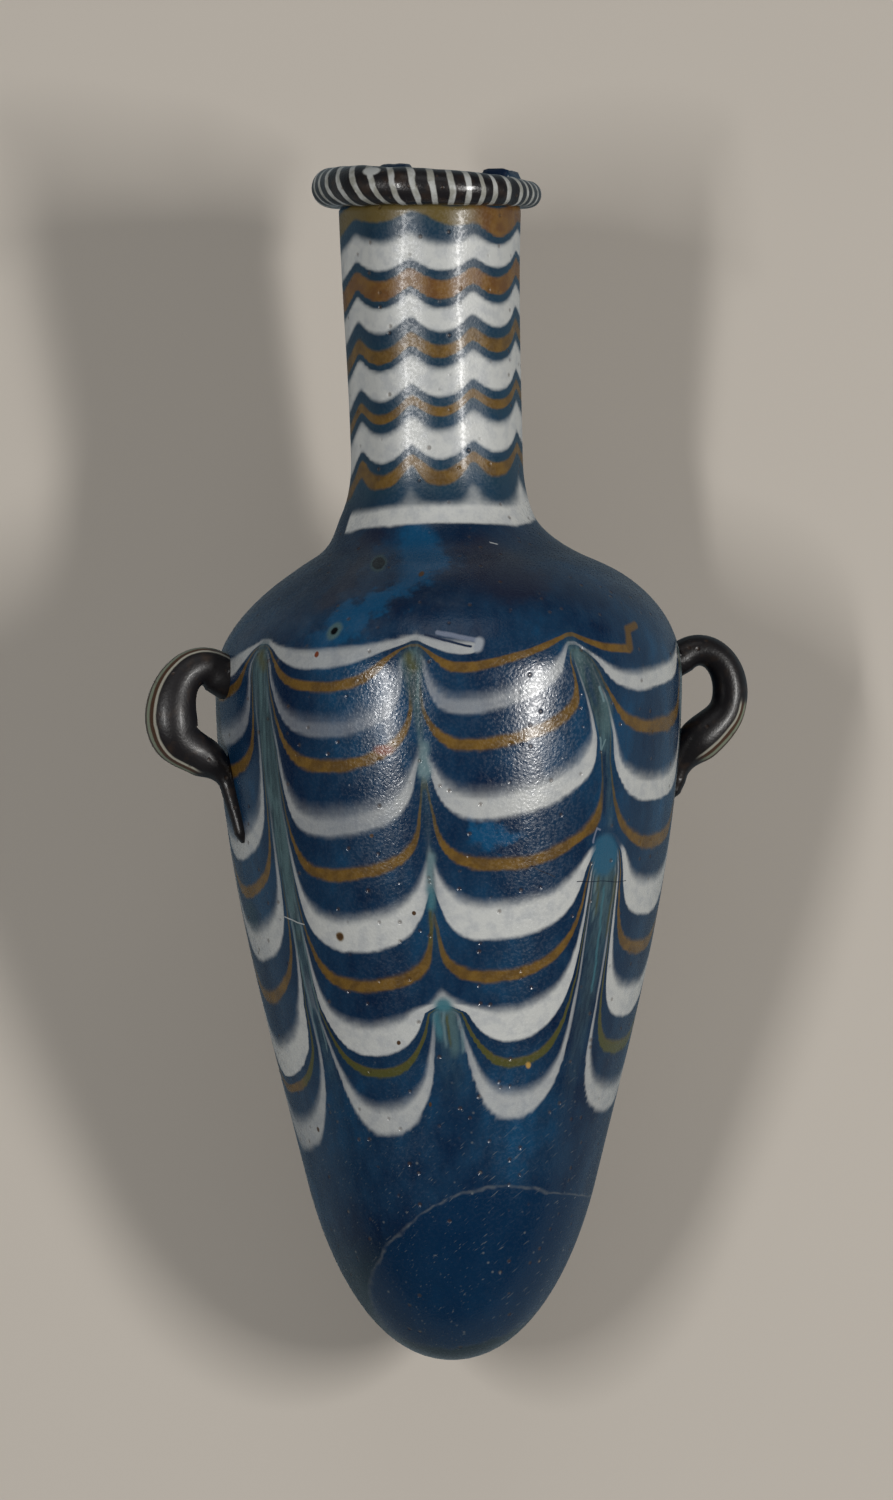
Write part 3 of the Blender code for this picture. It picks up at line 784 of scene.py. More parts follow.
# %% Draw the handles' way
# Sizes from the belly's middle in metres: the loop's reach, top, widest place and foot, then its thickness at
# the root, over the top, at the side and low down, then its tail with its swing in degrees, then the trail
HANDLES = {
    "handle_left": dict(
        azimuth=-74, reach=0.0049, top=0.0012, widest=-0.0030, foot=-0.0097,
        root=0.0042, over=0.0034, side=0.0047, low=0.0037,
        tail=0.0049, swing=6, trail=(0.0, 0.66), trail_turn=0.0,
    ),
    "handle_right": dict(
        azimuth=99, reach=0.0047, top=0.0027, widest=-0.0010, foot=-0.0089,
        root=0.0032, over=0.0028, side=0.0032, low=0.0040,
        tail=0.0018, swing=0, trail=(0.5, 0.8), trail_turn=-0.06,
    ),
}
HANDLE_ROUNDNESS, HANDLE_SIDES = 0.60, 28
TAIL_THICKNESS, TAIL_TIP, TAIL_ROUND = 0.0016, 0.0004, 0.0008
LOOP_START, LOOP_END = radians(130), radians(-25)

# Shares: of the loop's rise where the root is, of the wall that the root sinks in, of the tail's thickness
# by which its middle stands off the wall, of that thickness near the tip, and of the way for the trail's ends
ROOT_RISE, ROOT_DEPTH, TAIL_PROUD, TAIL_THIN, TRAIL_IN, TRAIL_OUT = 0.75, 0.6, 0.2, 0.8, 0.03, 0.06
LOOP_STEPS, BEND_STEPS, TAIL_STEPS = 34, 24, 12

# The points of the route at which the thicknesses hold
OVER_POINT, SIDE_POINT, LOW_POINT, FOOT_POINT = 11, 31, 46, LOOP_STEPS + BEND_STEPS


def handle_route(sizes):
    """(radius, height) along a handle, and the way gone."""
    top, widest, foot = (BELLY_HEIGHT + sizes[name] for name in ("top", "widest", "foot"))
    rise = top - widest
    round_reach = sizes["reach"] * HANDLE_ROUNDNESS
    centre = BELLY_RADIUS + sizes["reach"] - round_reach
    root_height = widest + rise * ROOT_RISE
    route = [(float(outline_radius(root_height)) - WALL * ROOT_DEPTH, root_height)]
    for turn in np.linspace(LOOP_START, LOOP_END, LOOP_STEPS):
        route.append((centre + round_reach * cos(turn), widest + rise * sin(turn)))
    down, lift = (round_reach * sin(LOOP_END), -rise * cos(LOOP_END)), TAIL_THICKNESS * TAIL_PROUD
    landing = (float(outline_radius(foot)) + lift, foot)
    route += bend(route[-1], down, landing, (-0.15, -1), 0.3, 0.45, BEND_STEPS)
    for share in np.linspace(0, 1, TAIL_STEPS + 1)[1:]:
        height = foot - sizes["tail"] * share
        route.append((float(outline_radius(height)) + lift * (1 - share), height))
    route = np.array(route)
    return route, np.concatenate([[0], np.cumsum(np.linalg.norm(np.diff(route, axis=0), axis=1))])


def handle_thickness(sizes, gone):
    """How thick a handle is along its way: from its root over its loop to its tail's tip."""
    knots = [(0.0, sizes["root"])]
    for point, name in ((OVER_POINT, "over"), (SIDE_POINT, "side"), (LOW_POINT, "low")):
        knots.append((gone[point], sizes[name]))
    knots.append((gone[FOOT_POINT], TAIL_THICKNESS))
    knots += [(gone[-1] - TAIL_ROUND, TAIL_THICKNESS * TAIL_THIN), (gone[-1], TAIL_TIP)]
    return ease(gone, knots)


print("loops reach", [sizes["reach"] * 1000 for sizes in HANDLES.values()], "mm past the belly's width")

# %% [markdown]
# The section stays square to the way, so its normals come from the way's own direction. A second number on
# the mesh says where the pale trail shows: it starts and ends at shares of the way.

# %% Build the handles


def handle_mesh(name, sizes):
    """One handle, in the vessel's frame."""
    route, gone = handle_route(sizes)
    swing = ((gone[LOW_POINT], 0.0), (gone[-1], radians(sizes["swing"])))
    turn = radians(sizes["azimuth"]) + ease(gone, swing)
    out = np.stack([np.sin(turn), np.zeros_like(turn), np.cos(turn)], axis=-1)
    up = np.array((0.0, 1.0, 0.0))
    side = np.cross(up, out)
    centres = (float(stray(BELLY_HEIGHT)), 0.0, 0.0) + route[:, :1] * out + route[:, 1:] * up
    along = np.gradient(centres, axis=0)
    along /= np.linalg.norm(along, axis=1)[:, None]
    start, end = sizes["trail"]
    trail_knots = ((start - TRAIL_IN, 0.0), (start, 1.0), (end - TRAIL_OUT, 1.0), (end, 0.0))
    shown = ease(gone / gone[-1], trail_knots)
    values = {
        "around": lambda step, place: place / HANDLE_SIDES + sizes["trail_turn"],
        "trail": lambda step, place: shown[step],
    }
    half = handle_thickness(sizes, gone) / 2
    return sweep(name, centres, np.cross(side, along), side, half, HANDLE_SIDES, False, values)


handle_meshes = {name: handle_mesh(name, sizes) for name, sizes in HANDLES.items()}
print("handles:", {name: len(mesh.polygons) for name, mesh in handle_meshes.items()})

# %% [markdown]
# ## Small helpers for materials
#
# Node trees are easier to read as sentences. These helpers add a node, set its inputs by name and give
# back its output, so that each effect below reads from its cause to its colour.

# %% Helpers that wire nodes
def feed(tree, socket, value):
    """Links an output to a node's input, or sets the input to a plain value."""
    if isinstance(value, bpy.types.NodeSocket):
        tree.links.new(value, socket)
    else:
        socket.default_value = value


def add(tree, kind, inputs=(), output=0, **settings):
    """Adds a node, sets its properties and inputs, and returns one output."""
    node = tree.nodes.new(kind)
    for name, value in settings.items():
        setattr(node, name, value)
    for key, value in dict(inputs).items():
        feed(tree, node.inputs[key], value)
    return node.outputs[output]


def calc(tree, operation, *values, clamp=False):
    """A Math node."""
    return add(tree, "ShaderNodeMath", dict(enumerate(values)), operation=operation, use_clamp=clamp)


def times(tree, first, second):
    """first x second."""
    return calc(tree, "MULTIPLY", first, second)


def scaled(tree, value, factor, more):
    """value x factor + more."""
    return calc(tree, "MULTIPLY_ADD", value, factor, more)


def inverse(tree, mask):
    """1 where a mask is 0, and 0 where it is 1."""
    return calc(tree, "SUBTRACT", 1.0, mask)


print("a Math node is one of", [helper.__name__ for helper in (calc, times, scaled, inverse)])

# %% [markdown]
# Colours are given as a paint program shows them, and turned into the linear numbers that a shader takes.
# Masks between 0 and 1 lay one colour over another, as a painter does with thin coats.

# %% Helpers for colours and masks


def colour(red, green, blue):
    """A linear colour from the sRGB numbers that a paint program shows."""
    parts = (channel / 255 for channel in (red, green, blue))
    return (*(part / 12.92 if part < 0.04045 else ((part + 0.055) / 1.055) ** 2.4 for part in parts), 1.0)


def paint(tree, mask, under, over):
    """Mixes two colours by a mask."""
    return add(tree, "ShaderNodeMix", {0: mask, 6: under, 7: over}, output=2, data_type="RGBA")


def fade(tree, value, zero_at, one_at):
    """A soft mask: 0 at one value and 1 at the other."""
    inputs = {0: value, 1: zero_at, 2: one_at, 3: 0.0, 4: 1.0}
    return add(tree, "ShaderNodeMapRange", inputs, interpolation_type="SMOOTHSTEP")


def ramp(tree, value, *stops):
    """A Color Ramp through (place, colour) stops."""
    made = add(tree, "ShaderNodeValToRGB", {0: value})
    elements = made.node.color_ramp.elements
    for place, _ in stops[:-2]:
        elements.new(place)
    for element, (place, tint) in zip(elements, stops):
        element.position = place
        element.color = tint
    return made


print("mid grey is", round(colour(128, 128, 128)[0], 3), "as a linear number")

# %% [markdown]
# Noise gives glass its clouds. Its size is given in metres, and it may be stretched along the vessel. The
# numbers that were stored on the meshes come back by their names.

# %% Helpers for noise and stored numbers


def vectors(tree, operation, *values, output=0):
    """A Vector Math node."""
    return add(tree, "ShaderNodeVectorMath", dict(enumerate(values)), output, operation=operation)


def clouds(tree, vector, size, detail=2.0, stretch=(1, 1, 1), roughness=0.55):
    """Noise with features of about the given size in metres, stretched along the object's axes."""
    spread = vectors(tree, "MULTIPLY", vector, tuple(1 / (size * by) for by in stretch))
    inputs = {"Vector": spread, "Scale": 1.0, "Detail": detail, "Roughness": roughness}
    return add(tree, "ShaderNodeTexNoise", inputs)


def waver(tree, vector, size, detail=2.0, roughness=0.55):
    """Clouds round zero, to shift things a little."""
    return calc(tree, "SUBTRACT", clouds(tree, vector, size, detail, roughness=roughness), 0.5)


def stored(tree, name):
    """A number stored on the mesh."""
    return add(tree, "ShaderNodeAttribute", output=2, attribute_name=name)


def stored_vector(tree, name):
    """A place or a colour stored on the mesh."""
    return add(tree, "ShaderNodeAttribute", output=1, attribute_name=name)


def flat_place(tree, sideways, upwards):
    """A place on a flat drawing."""
    return add(tree, "ShaderNodeCombineXYZ", {0: sideways, 1: upwards})


print("noise reads a place, and", [helper.__name__ for helper in (stored, stored_vector)], "read the mesh")

# %% [markdown]
# An effect that several materials use is a node group. Its inputs are named sockets with plain values to
# start from, and it puts out masks, so each material can use it with its own values.

# %% Helpers for node groups
FLOAT, VECTOR = "NodeSocketFloat", "NodeSocketVector"


def new_group(name, inputs, outputs):
    """A shader node group with named sockets. Returns its tree, its inputs by name and its output node."""
    tree = bpy.data.node_groups.new(name, "ShaderNodeTree")
    for socket, (kind, value) in inputs.items():
        made = tree.interface.new_socket(name=socket, in_out="INPUT", socket_type=kind)
        if value is not None:
            made.default_value = value
    for socket in outputs:
        tree.interface.new_socket(name=socket, in_out="OUTPUT", socket_type=FLOAT)
    return tree, tree.nodes.new("NodeGroupInput").outputs, tree.nodes.new("NodeGroupOutput").inputs


def use_group(tree, group, **inputs):
    """Places a group and returns its outputs by name. Underscores stand for spaces."""
    node = tree.nodes.new("ShaderNodeGroup")
    node.node_tree = group
    for name, value in inputs.items():
        feed(tree, node.inputs[name.replace("_", " ")], value)
    return node.outputs


print("sockets are of the kinds", FLOAT, "and", VECTOR)

# %% [markdown]
# ## Shared effects
#
# All four pieces are old glass, so they share a few effects. Threads of one glass in another are bands where
# a count is near a whole number. Single marks are lines and spots, drawn on the wall as if it were unrolled
# flat. Weathering is a skin of fine pits and dull patches, with brown grime that settles in the pits. Each
# is a group that only puts out masks and heights, so that each material can mix them in its own way.

# %% Group: glass thread


def soft_edge(tree, away, half, softness):
    """1 nearer than a half-width and 0 beyond it, with an edge that is this soft."""
    inner = calc(tree, "SUBTRACT", half, softness)
    outer = calc(tree, "ADD", half, softness)
    return fade(tree, away, outer, inner)


def thread_group():
    """A band round each whole number of a count, whose upper edge may be softer than its lower one."""
    softnesses = {"Softness": (FLOAT, 0.02), "Upper Softness": (FLOAT, 0.02)}
    inputs = {"Count": (FLOAT, 0.0), "Half Width": (FLOAT, 0.17), **softnesses}
    tree, given, out = new_group("Glass Thread", inputs, ["Mask"])
    away = calc(tree, "PINGPONG", given["Count"], 0.5)
    above = calc(tree, "LESS_THAN", calc(tree, "FRACT", given["Count"]), 0.5)
    soft_parts = {0: above, 2: given["Softness"], 3: given["Upper Softness"]}
    softness = add(tree, "ShaderNodeMix", soft_parts, data_type="FLOAT")
    tree.links.new(soft_edge(tree, away, given["Half Width"], softness), out["Mask"])
    return tree


glass_thread = thread_group()


def band(tree, count, half, softness, upper_softness):
    """The mask of the glass threads in a count."""
    edges = dict(Half_Width=half, Softness=softness, Upper_Softness=upper_softness)
    return use_group(tree, glass_thread, Count=count, **edges)["Mask"]


print(glass_thread.name, "has", [socket.name for socket in glass_thread.interface.items_tree])

# %% Groups: drawn line and painted spot


def line_group():
    """A straight stroke with round ends, on a flat place in mm."""
    widths = {"Half Width": (FLOAT, 0.3), "Softness": (FLOAT, 0.1)}
    inputs = {"Place": (VECTOR, None), "Start": (VECTOR, None), "End": (VECTOR, None), **widths}
    tree, given, out = new_group("Drawn Line", inputs, ["Mask"])
    from_start = vectors(tree, "SUBTRACT", given["Place"], given["Start"])
    span = vectors(tree, "SUBTRACT", given["End"], given["Start"])
    along = vectors(tree, "DOT_PRODUCT", from_start, span, output=1)
    whole = vectors(tree, "DOT_PRODUCT", span, span, output=1)
    share = calc(tree, "DIVIDE", along, whole, clamp=True)
    nearest = add(tree, "ShaderNodeVectorMath", {0: span, "Scale": share}, operation="SCALE")
    away = vectors(tree, "DISTANCE", from_start, nearest, output=1)
    tree.links.new(soft_edge(tree, away, given["Half Width"], given["Softness"]), out["Mask"])
    return tree


def spot_group():
    """An oval spot, on a flat place in mm."""
    sizes = {"Size": (VECTOR, (1.0, 1.0, 1.0)), "Softness": (FLOAT, 0.2)}
    inputs = {"Place": (VECTOR, None), "Centre": (VECTOR, None), **sizes}
    tree, given, out = new_group("Painted Spot", inputs, ["Mask"])
    from_centre = vectors(tree, "SUBTRACT", given["Place"], given["Centre"])
    away = vectors(tree, "LENGTH", vectors(tree, "DIVIDE", from_centre, given["Size"]), output=1)
    tree.links.new(soft_edge(tree, away, 1.0, given["Softness"]), out["Mask"])
    return tree


drawn_line, painted_spot = line_group(), spot_group()


def drawn(tree, place, start, end, half, softness):
    """The mask of a line on a flat place."""
    ends = dict(Start=(*start, 0.0), End=(*end, 0.0), Half_Width=half, Softness=softness)
    return use_group(tree, drawn_line, Place=place, **ends)["Mask"]


def painted(tree, place, centre, size, lean, softness):
    """The mask of an oval spot on a flat place, which leans by this many degrees."""
    if lean:
        turned = {"Vector": place, "Center": (*centre, 0.0), "Angle": radians(lean)}
        place = add(tree, "ShaderNodeVectorRotate", turned, invert=True)
    shape = dict(Centre=(*centre, 0.0), Size=(*size, 1.0), Softness=softness)
    return use_group(tree, painted_spot, Place=place, **shape)["Mask"]


print("made", drawn_line.name, "and", painted_spot.name)

# %% Group: weathered skin


def skin_group():
    """Fine pits, a soft ripple, dull patches, grime and pale flecks."""
    shares = {"Pit Spacing": (FLOAT, 0.0006), "Pit Share": (FLOAT, 0.5), "Grain": (FLOAT, 0.5)}
    masks = ["Height", "Dullness", "Grime", "Flecks"]
    tree, given, out = new_group("Weathered Skin", {"Vector": (VECTOR, None), **shares}, masks)
    place = given["Vector"]
    scale = calc(tree, "DIVIDE", 1.0, given["Pit Spacing"])
    cells = add(tree, "ShaderNodeTexVoronoi", {"Vector": place, "Scale": scale}).node.outputs
    chance = add(tree, "ShaderNodeSeparateColor", {0: cells["Color"]}).node.outputs
    chosen = calc(tree, "LESS_THAN", chance["Red"], given["Pit Share"])
    hole = times(tree, fade(tree, cells["Distance"], 0.32, 0.05), chosen)
    pale = calc(tree, "LESS_THAN", chance["Green"], 0.16)
    grain, ripple = clouds(tree, place, 0.00025, 1.0), clouds(tree, place, 0.004, 1.0)
    height = scaled(tree, hole, -1.0, times(tree, grain, given["Grain"]))
    patches = clouds(tree, place, 0.006, 3.0, roughness=0.7)
    tree.links.new(scaled(tree, ripple, 0.7, height), out["Height"])
    tree.links.new(fade(tree, patches, 0.35, 0.7), out["Dullness"])
    tree.links.new(hole, out["Grime"])
    tree.links.new(times(tree, fade(tree, cells["Distance"], 0.2, 0.05), pale), out["Flecks"])
    return tree


weathered_skin = skin_group()
print("groups:", [group.name for group in bpy.data.node_groups])

# %% [markdown]
# ## Gloss
#
# The glass is opaque and satin, so there is no transmission: a moderate roughness with a thin coat gives its
# gloss. Each material keeps its own shader, with its plain values set on it.

# %% Gloss of all the glass
COAT_ROUGHNESS, GLASS_IOR, SPECULAR = 0.12, 1.52, 0.40


def new_material(name):
    """An empty node material."""
    made = bpy.data.materials.new(name)
    made.use_nodes = True
    return made, made.node_tree


def glass_shader(tree, base, roughness, height, pit_depth, coat):
    """The Principled shader that all the glass shares, with its own values."""
    shader = tree.nodes["Principled BSDF"]
    shader.inputs["Metallic"].default_value = 0.0
    shader.inputs["IOR"].default_value = GLASS_IOR
    shader.inputs["Specular IOR Level"].default_value = SPECULAR
    shader.inputs["Coat Weight"].default_value = coat
    shader.inputs["Coat Roughness"].default_value = COAT_ROUGHNESS
    normal = add(tree, "ShaderNodeBump", {"Height": height, "Distance": pit_depth, "Strength": 1.0})
    tree.links.new(base, shader.inputs["Base Color"])
    tree.links.new(roughness, shader.inputs["Roughness"])
    tree.links.new(normal, shader.inputs["Normal"])


print("gloss: index", GLASS_IOR, "with a coat of roughness", COAT_ROUGHNESS)

# %% [markdown]
# ## The vessel's glass
#
# The finish is painted in layers, from the ground up: cloudy blue glass with the flake lost from the base,
# then the ochre and white bands that the thread counts give, then what the strokes dragged along, then wear.
# A layer is a function that takes the colour under it and gives back the colour over it. All of them read
# the same few numbers, which are looked up once.

# %% Name the colours
DEEP_BLUE, MID_BLUE, BRIGHT_BLUE = colour(3, 27, 55), colour(19, 49, 76), colour(14, 74, 112)
SHOULDER_DARK, SHOULDER_PURPLE = colour(10, 22, 42), colour(27, 30, 48)
WHITE_GLASS, WHITE_SHADE, LILAC_GLASS = colour(188, 190, 188), colour(174, 177, 178), colour(116, 122, 134)
HAIRPIN_WHITE, HAIRPIN_LILAC = colour(142, 148, 156), colour(104, 113, 132)
STROKE_BLUE, PIT_BLACK = colour(28, 52, 74), colour(2, 5, 8)
OCHRE_GLASS, OCHRE_DARK, OLIVE_GLASS = colour(108, 82, 36), colour(90, 68, 34), colour(74, 74, 38)
NECK_OCHRE, NECK_BROWN = colour(114, 82, 38), colour(100, 68, 34)
GREY_GREEN, DEEP_GREY_GREEN = colour(74, 98, 102), colour(46, 64, 70)
TURQUOISE, PALE_TURQUOISE = colour(62, 108, 120), colour(98, 122, 128)
TEAL_EDGE, HEAD_TEAL, NECK_OLIVE = colour(28, 56, 72), colour(38, 86, 112), colour(96, 82, 44)
# The rim's grey is a painted reflection: the sheen that the low rim mirrors, not a colour of the glass.
RIM_SHEEN_GREY, SCAR_BLUE, CREAM = colour(18, 38, 44), colour(2, 38, 68), colour(140, 142, 136)
BROWN_GRIME, RED_BROWN, GOLD = colour(72, 52, 34), colour(112, 58, 38), colour(170, 135, 70)
print("deep blue in linear numbers:", [round(part, 3) for part in DEEP_BLUE[:3]])

# %% Look up what the layers read


def shared_numbers(tree):
    """The numbers that the layers of the vessel's finish read, by name."""
    spot = stored_vector(tree, "own_place")
    axes = add(tree, "ShaderNodeSeparateXYZ", {0: spot}).node.outputs
    wobble, tremble = waver(tree, spot, 0.0022), waver(tree, spot, 0.0005, 1.0)
    counts = {}
    for part in ("body", "neck"):
        count = scaled(tree, wobble, 0.05, stored(tree, part + "_threads"))
        counts[part] = scaled(tree, tremble, 0.02, count)
    return SimpleNamespace(
        spot=spot,
        axes=axes,
        level=axes["Y"],
        turn=stored(tree, "turn"),
        opacity=stored(tree, "opacity"),
        thin=calc(tree, "MULTIPLY", stored(tree, "thinned"), 0.9, clamp=True),
        wobble=wobble,
        mottle=clouds(tree, spot, 0.0012),
        on_neck=fade(tree, axes["Y"], 0.074, 0.078),
        **counts,
    )


print("stored on the vessel:", [made.name for made in vessel_mesh.attributes if made.domain == "CORNER"])

# %% [markdown]
# The blue isn't even: it has broad clouds and fine ones, and it is darker and more purple on the shoulder.
# The base's front has lost a flake. Its shape is two ovals together, one of them leaning, and its edge is
# pale only where their masks are half faded.

# %% Paint the ground and the scar
# The scar's ovals: centre and half-sizes in mm, lean in degrees and softness
SCAR_OVALS = (((2.5, 8.6), (10.0, 6.6), 25.0, 0.035), ((9.0, 12.4), (6.4, 2.9), 0, 0.05))
SCAR_WOBBLE = 0.9


def blue_ground(tree, at):
    """The cloudy blue glass, darker and more purple on the shoulder."""
    broad = clouds(tree, at.spot, 0.011, stretch=(0.8, 1.6, 0.8))
    fine = clouds(tree, at.spot, 0.0016, 3.0, stretch=(0.8, 1.5, 0.8))
    mixed = scaled(tree, fine, 0.35, times(tree, broad, 0.75))
    ground = ramp(tree, mixed, (0.38, DEEP_BLUE), (0.58, MID_BLUE), (0.9, BRIGHT_BLUE), (1.0, BRIGHT_BLUE))
    dark = paint(tree, fade(tree, broad, 0.35, 0.65), SHOULDER_DARK, SHOULDER_PURPLE)
    shoulder = times(tree, fade(tree, at.level, 0.0665, 0.069), fade(tree, at.level, 0.0795, 0.076))
    return paint(tree, times(tree, shoulder, 0.35), ground, dark)


def flake_scar(tree, at, base):
    """The base's front has lost a flake: deeper blue inside, a pale broken edge above, a painted sheen below.
    """
    across_mm = scaled(tree, at.wobble, SCAR_WOBBLE, times(tree, at.axes["X"], 1000.0))
    up_mm = scaled(tree, at.wobble, -SCAR_WOBBLE, times(tree, at.level, 1000.0))
    place = flat_place(tree, across_mm, up_mm)
    shape = calc(tree, "MAXIMUM", *(painted(tree, place, *oval) for oval in SCAR_OVALS))
    scar = times(tree, shape, fade(tree, at.axes["Z"], 0.0, 0.001))
    # The low rim outside the scar is painted grey, a painted reflection of the sheen it mirrors from the
    # ground.
    rim = times(tree, inverse(tree, scar), fade(tree, at.level, 0.013, 0.006))
    base = paint(tree, times(tree, rim, 0.8), base, RIM_SHEEN_GREY)
    base = paint(tree, times(tree, scar, 0.75), base, SCAR_BLUE)
    edge = times(tree, times(tree, scar, inverse(tree, shape)), 4.0)
    edge = times(tree, edge, fade(tree, up_mm, -3.0, 14.0))
    edge = times(tree, edge, fade(tree, clouds(tree, place, 0.9, 1.0), 0.2, 0.65))
    return paint(tree, times(tree, edge, 0.24), base, CREAM)


print("layers so far:", blue_ground.__name__, flake_scar.__name__)

# %% [markdown]
# A few marks on the real vessel are there only once: the hooked turn of a thread at the right, its torn
# start on the shoulder, ringed pits, a red-brown speck. Others lie in the cores of the strokes, and it is
# likely that the strokes at the back hold some too. Both kinds are drawn on the wall unrolled flat, in mm.
# The single marks become nodes. The streaks are worked out once for each corner of the fine mesh and stored
# on it, because so many nodes would slow every render, and the mesh is fine enough beside the strokes.

# %% List the marks
# Colour, then for lines start, end and half-width, for spots centre, half-sizes, lean in degrees and
# softness, and for blobs the same without the lean. Sideways 1 mm is 2.73 degrees, upwards it is the height.
MM_PER_DEGREE = 0.3665
LINES = (
    (HAIRPIN_LILAC, (-1.4, 65.35), (2.5, 64.6), 0.19),
    (HAIRPIN_WHITE, (2.65, 64.4), (2.6, 63.95), 0.45),
    (DEEP_BLUE, (-2.5, 65.15), (1.9, 64.06), 0.11),
    (OCHRE_DARK, (18.8, 64.0), (18.95, 65.5), 0.42),
    (OCHRE_DARK, (19.1, 65.7), (20.6, 66.1), 0.32),
    (HAIRPIN_LILAC, (14.9, 46.6), (15.05, 47.8), 0.11),
    (HAIRPIN_LILAC, (15.05, 47.95), (15.6, 47.75), 0.09),
    (PALE_TURQUOISE, (14.8, 56.0), (15.0, 55.0), 0.12),
    (PALE_TURQUOISE, (15.1, 54.9), (15.5, 55.8), 0.10),
    (PALE_TURQUOISE, (14.6, 60.5), (15.1, 59.3), 0.12),
    (WHITE_SHADE, (8.0, 73.5), (9.2, 73.3), 0.05),
    (SHOULDER_DARK, (8.07, 44.55), (10.8, 43.5), 0.05),
    (SHOULDER_DARK, (13.2, 43.2), (20.2, 43.2), 0.035),
    (WHITE_SHADE, (-19.1, 39.96), (-16.3, 39.3), 0.05),
)
# Streaks and blobs in the cores of the front strokes, which the others repeat when turned by these degrees
REPEAT_FROM, TURN_LEFT, TURN_RIGHT = 69, 134, 137
STREAK_STRENGTH, BLOB_STRENGTH = 0.8, 0.95
STREAKS = (
    (PALE_TURQUOISE, (-2.2, 55.3), (-2.2, 53.0), 0.36),
    (PALE_TURQUOISE, (-1.7, 45.4), (-2.0, 42.6), 0.35),
    (TURQUOISE, (-1.9, 42.2), (-1.8, 41.0), 0.38),
    (OLIVE_GLASS, (-1.9, 40.6), (-2.0, 37.6), 0.16),
    (OLIVE_GLASS, (-3.7, 63.2), (-3.3, 62.2), 0.40),
    (TURQUOISE, (-1.6, 31.2), (-1.2, 29.6), 0.40),
    (GREY_GREEN, (0.1, 31.4), (0.5, 28.2), 0.55),
    (PALE_TURQUOISE, (-0.8, 31.6), (-0.6, 28.8), 0.16),
    (OLIVE_GLASS, (-0.35, 31.2), (-0.1, 28.8), 0.13),
    (PALE_TURQUOISE, (1.1, 30.8), (1.5, 28.2), 0.14),
    (OLIVE_GLASS, (-20.0, 63.4), (-19.3, 62.4), 0.45),
    (DEEP_GREY_GREEN, (-18.7, 58.0), (-18.0, 51.0), 0.34),
    (GREY_GREEN, (-17.5, 48.0), (-17.9, 41.0), 0.40),
    (PALE_TURQUOISE, (-18.2, 39.6), (-17.3, 29.0), 0.10),
    (PALE_TURQUOISE, (-16.9, 39.0), (-16.1, 28.0), 0.10),
    (GREY_GREEN, (12.2, 63.5), (12.9, 62.5), 0.42),
    (DEEP_GREY_GREEN, (13.0, 62.4), (14.7, 58.2), 0.62),
    (STROKE_BLUE, (13.1, 62.2), (14.1, 59.2), 0.25),
    (DEEP_GREY_GREEN, (13.2, 63.5), (15.1, 60.4), 0.36),
    (GREY_GREEN, (15.4, 59.2), (15.7, 57.0), 0.50),
    (DEEP_BLUE, (15.5, 54.6), (15.9, 49.4), 0.26),
    (PALE_TURQUOISE, (15.3, 46.8), (15.9, 40.0), 0.12),
    (OLIVE_GLASS, (15.8, 44.5), (16.3, 40.5), 0.13),
    (OLIVE_GLASS, (18.4, 43.5), (18.2, 38.5), 0.14),
    (TURQUOISE, (16.9, 42.6), (17.4, 33.5), 0.14),
)
BLOBS = (
    (PALE_TURQUOISE, (-2.2, 53.1), (0.62, 0.8), 0.5),
    (TURQUOISE, (-0.8, 32.2), (0.95, 0.6), 0.5),
    (MID_BLUE, (16.7, 46.9), (2.5, 1.1), 0.2),
    (HEAD_TEAL, (16.5, 45.5), (1.75, 1.9), 0.18),
)
SPOTS = (
    (RED_BROWN, (-5.9, 54.9), (0.9, 0.45), 0, 0.4),
    (GOLD, (9.6, 26.8), (0.32, 0.25), 0, 0.5),
    (DEEP_GREY_GREEN, (-11.0, 71.55), (1.5, 0.68), -15, 0.2),
    (PIT_BLACK, (-11.0, 71.55), (1.2, 0.5), -15, 0.1),
    (GREY_GREEN, (-11.7, 65.5), (0.8, 0.75), 0, 0.3),
    (PIT_BLACK, (-11.7, 65.5), (0.4, 0.32), 0, 0.3),
    (RED_BROWN, (-12.8, 63.4), (0.25, 0.25), 0, 0.2),
    (BROWN_GRIME, (-4.5, 70.65), (0.35, 0.25), 0, 0.2),
    (OCHRE_DARK, (-11.8, 38.25), (0.42, 0.42), 0, 0.3),
    (BROWN_GRIME, (-11.8, 38.25), (0.28, 0.26), 0, 0.2),
    (BROWN_GRIME, (-3.6, 40.4), (0.2, 0.2), 0, 0.2),
    (BROWN_GRIME, (-7.4, 47.25), (0.2, 0.2), 0, 0.2),
    (BROWN_GRIME, (-2.65, 23.3), (0.2, 0.2), 0, 0.2),
    (BROWN_GRIME, (-21.0, 20.9), (0.3, 0.2), 0, 0.2),
    (BROWN_GRIME, (-6.1, 28.8), (0.25, 0.2), 0, 0.2),
)
CLOUDED = (
    (BRIGHT_BLUE, (-4.8, 72.9), (3.65, 2.7), 0, 0.35),
    (BRIGHT_BLUE, (-9.2, 67.3), (5.0, 1.6), 34, 0.4),
    (SHOULDER_PURPLE, (-14.8, 73.7), (3.8, 1.4), 0, 0.4),
    (SHOULDER_PURPLE, (-14.3, 69.9), (2.6, 1.9), 60, 0.4),
    (SHOULDER_PURPLE, (6.2, 71.1), (5.0, 3.0), 0, 0.4),
    (TEAL_EDGE, (-26.8, 40.0), (2.2, 1.5), 0, 0.4),
    (BRIGHT_BLUE, (4.4, 47.1), (2.4, 1.1), 0, 0.4),
)

print(len(LINES) + len(SPOTS), "single marks,", len(STREAKS) + len(BLOBS), "in the strokes")

# %% Draw the marks


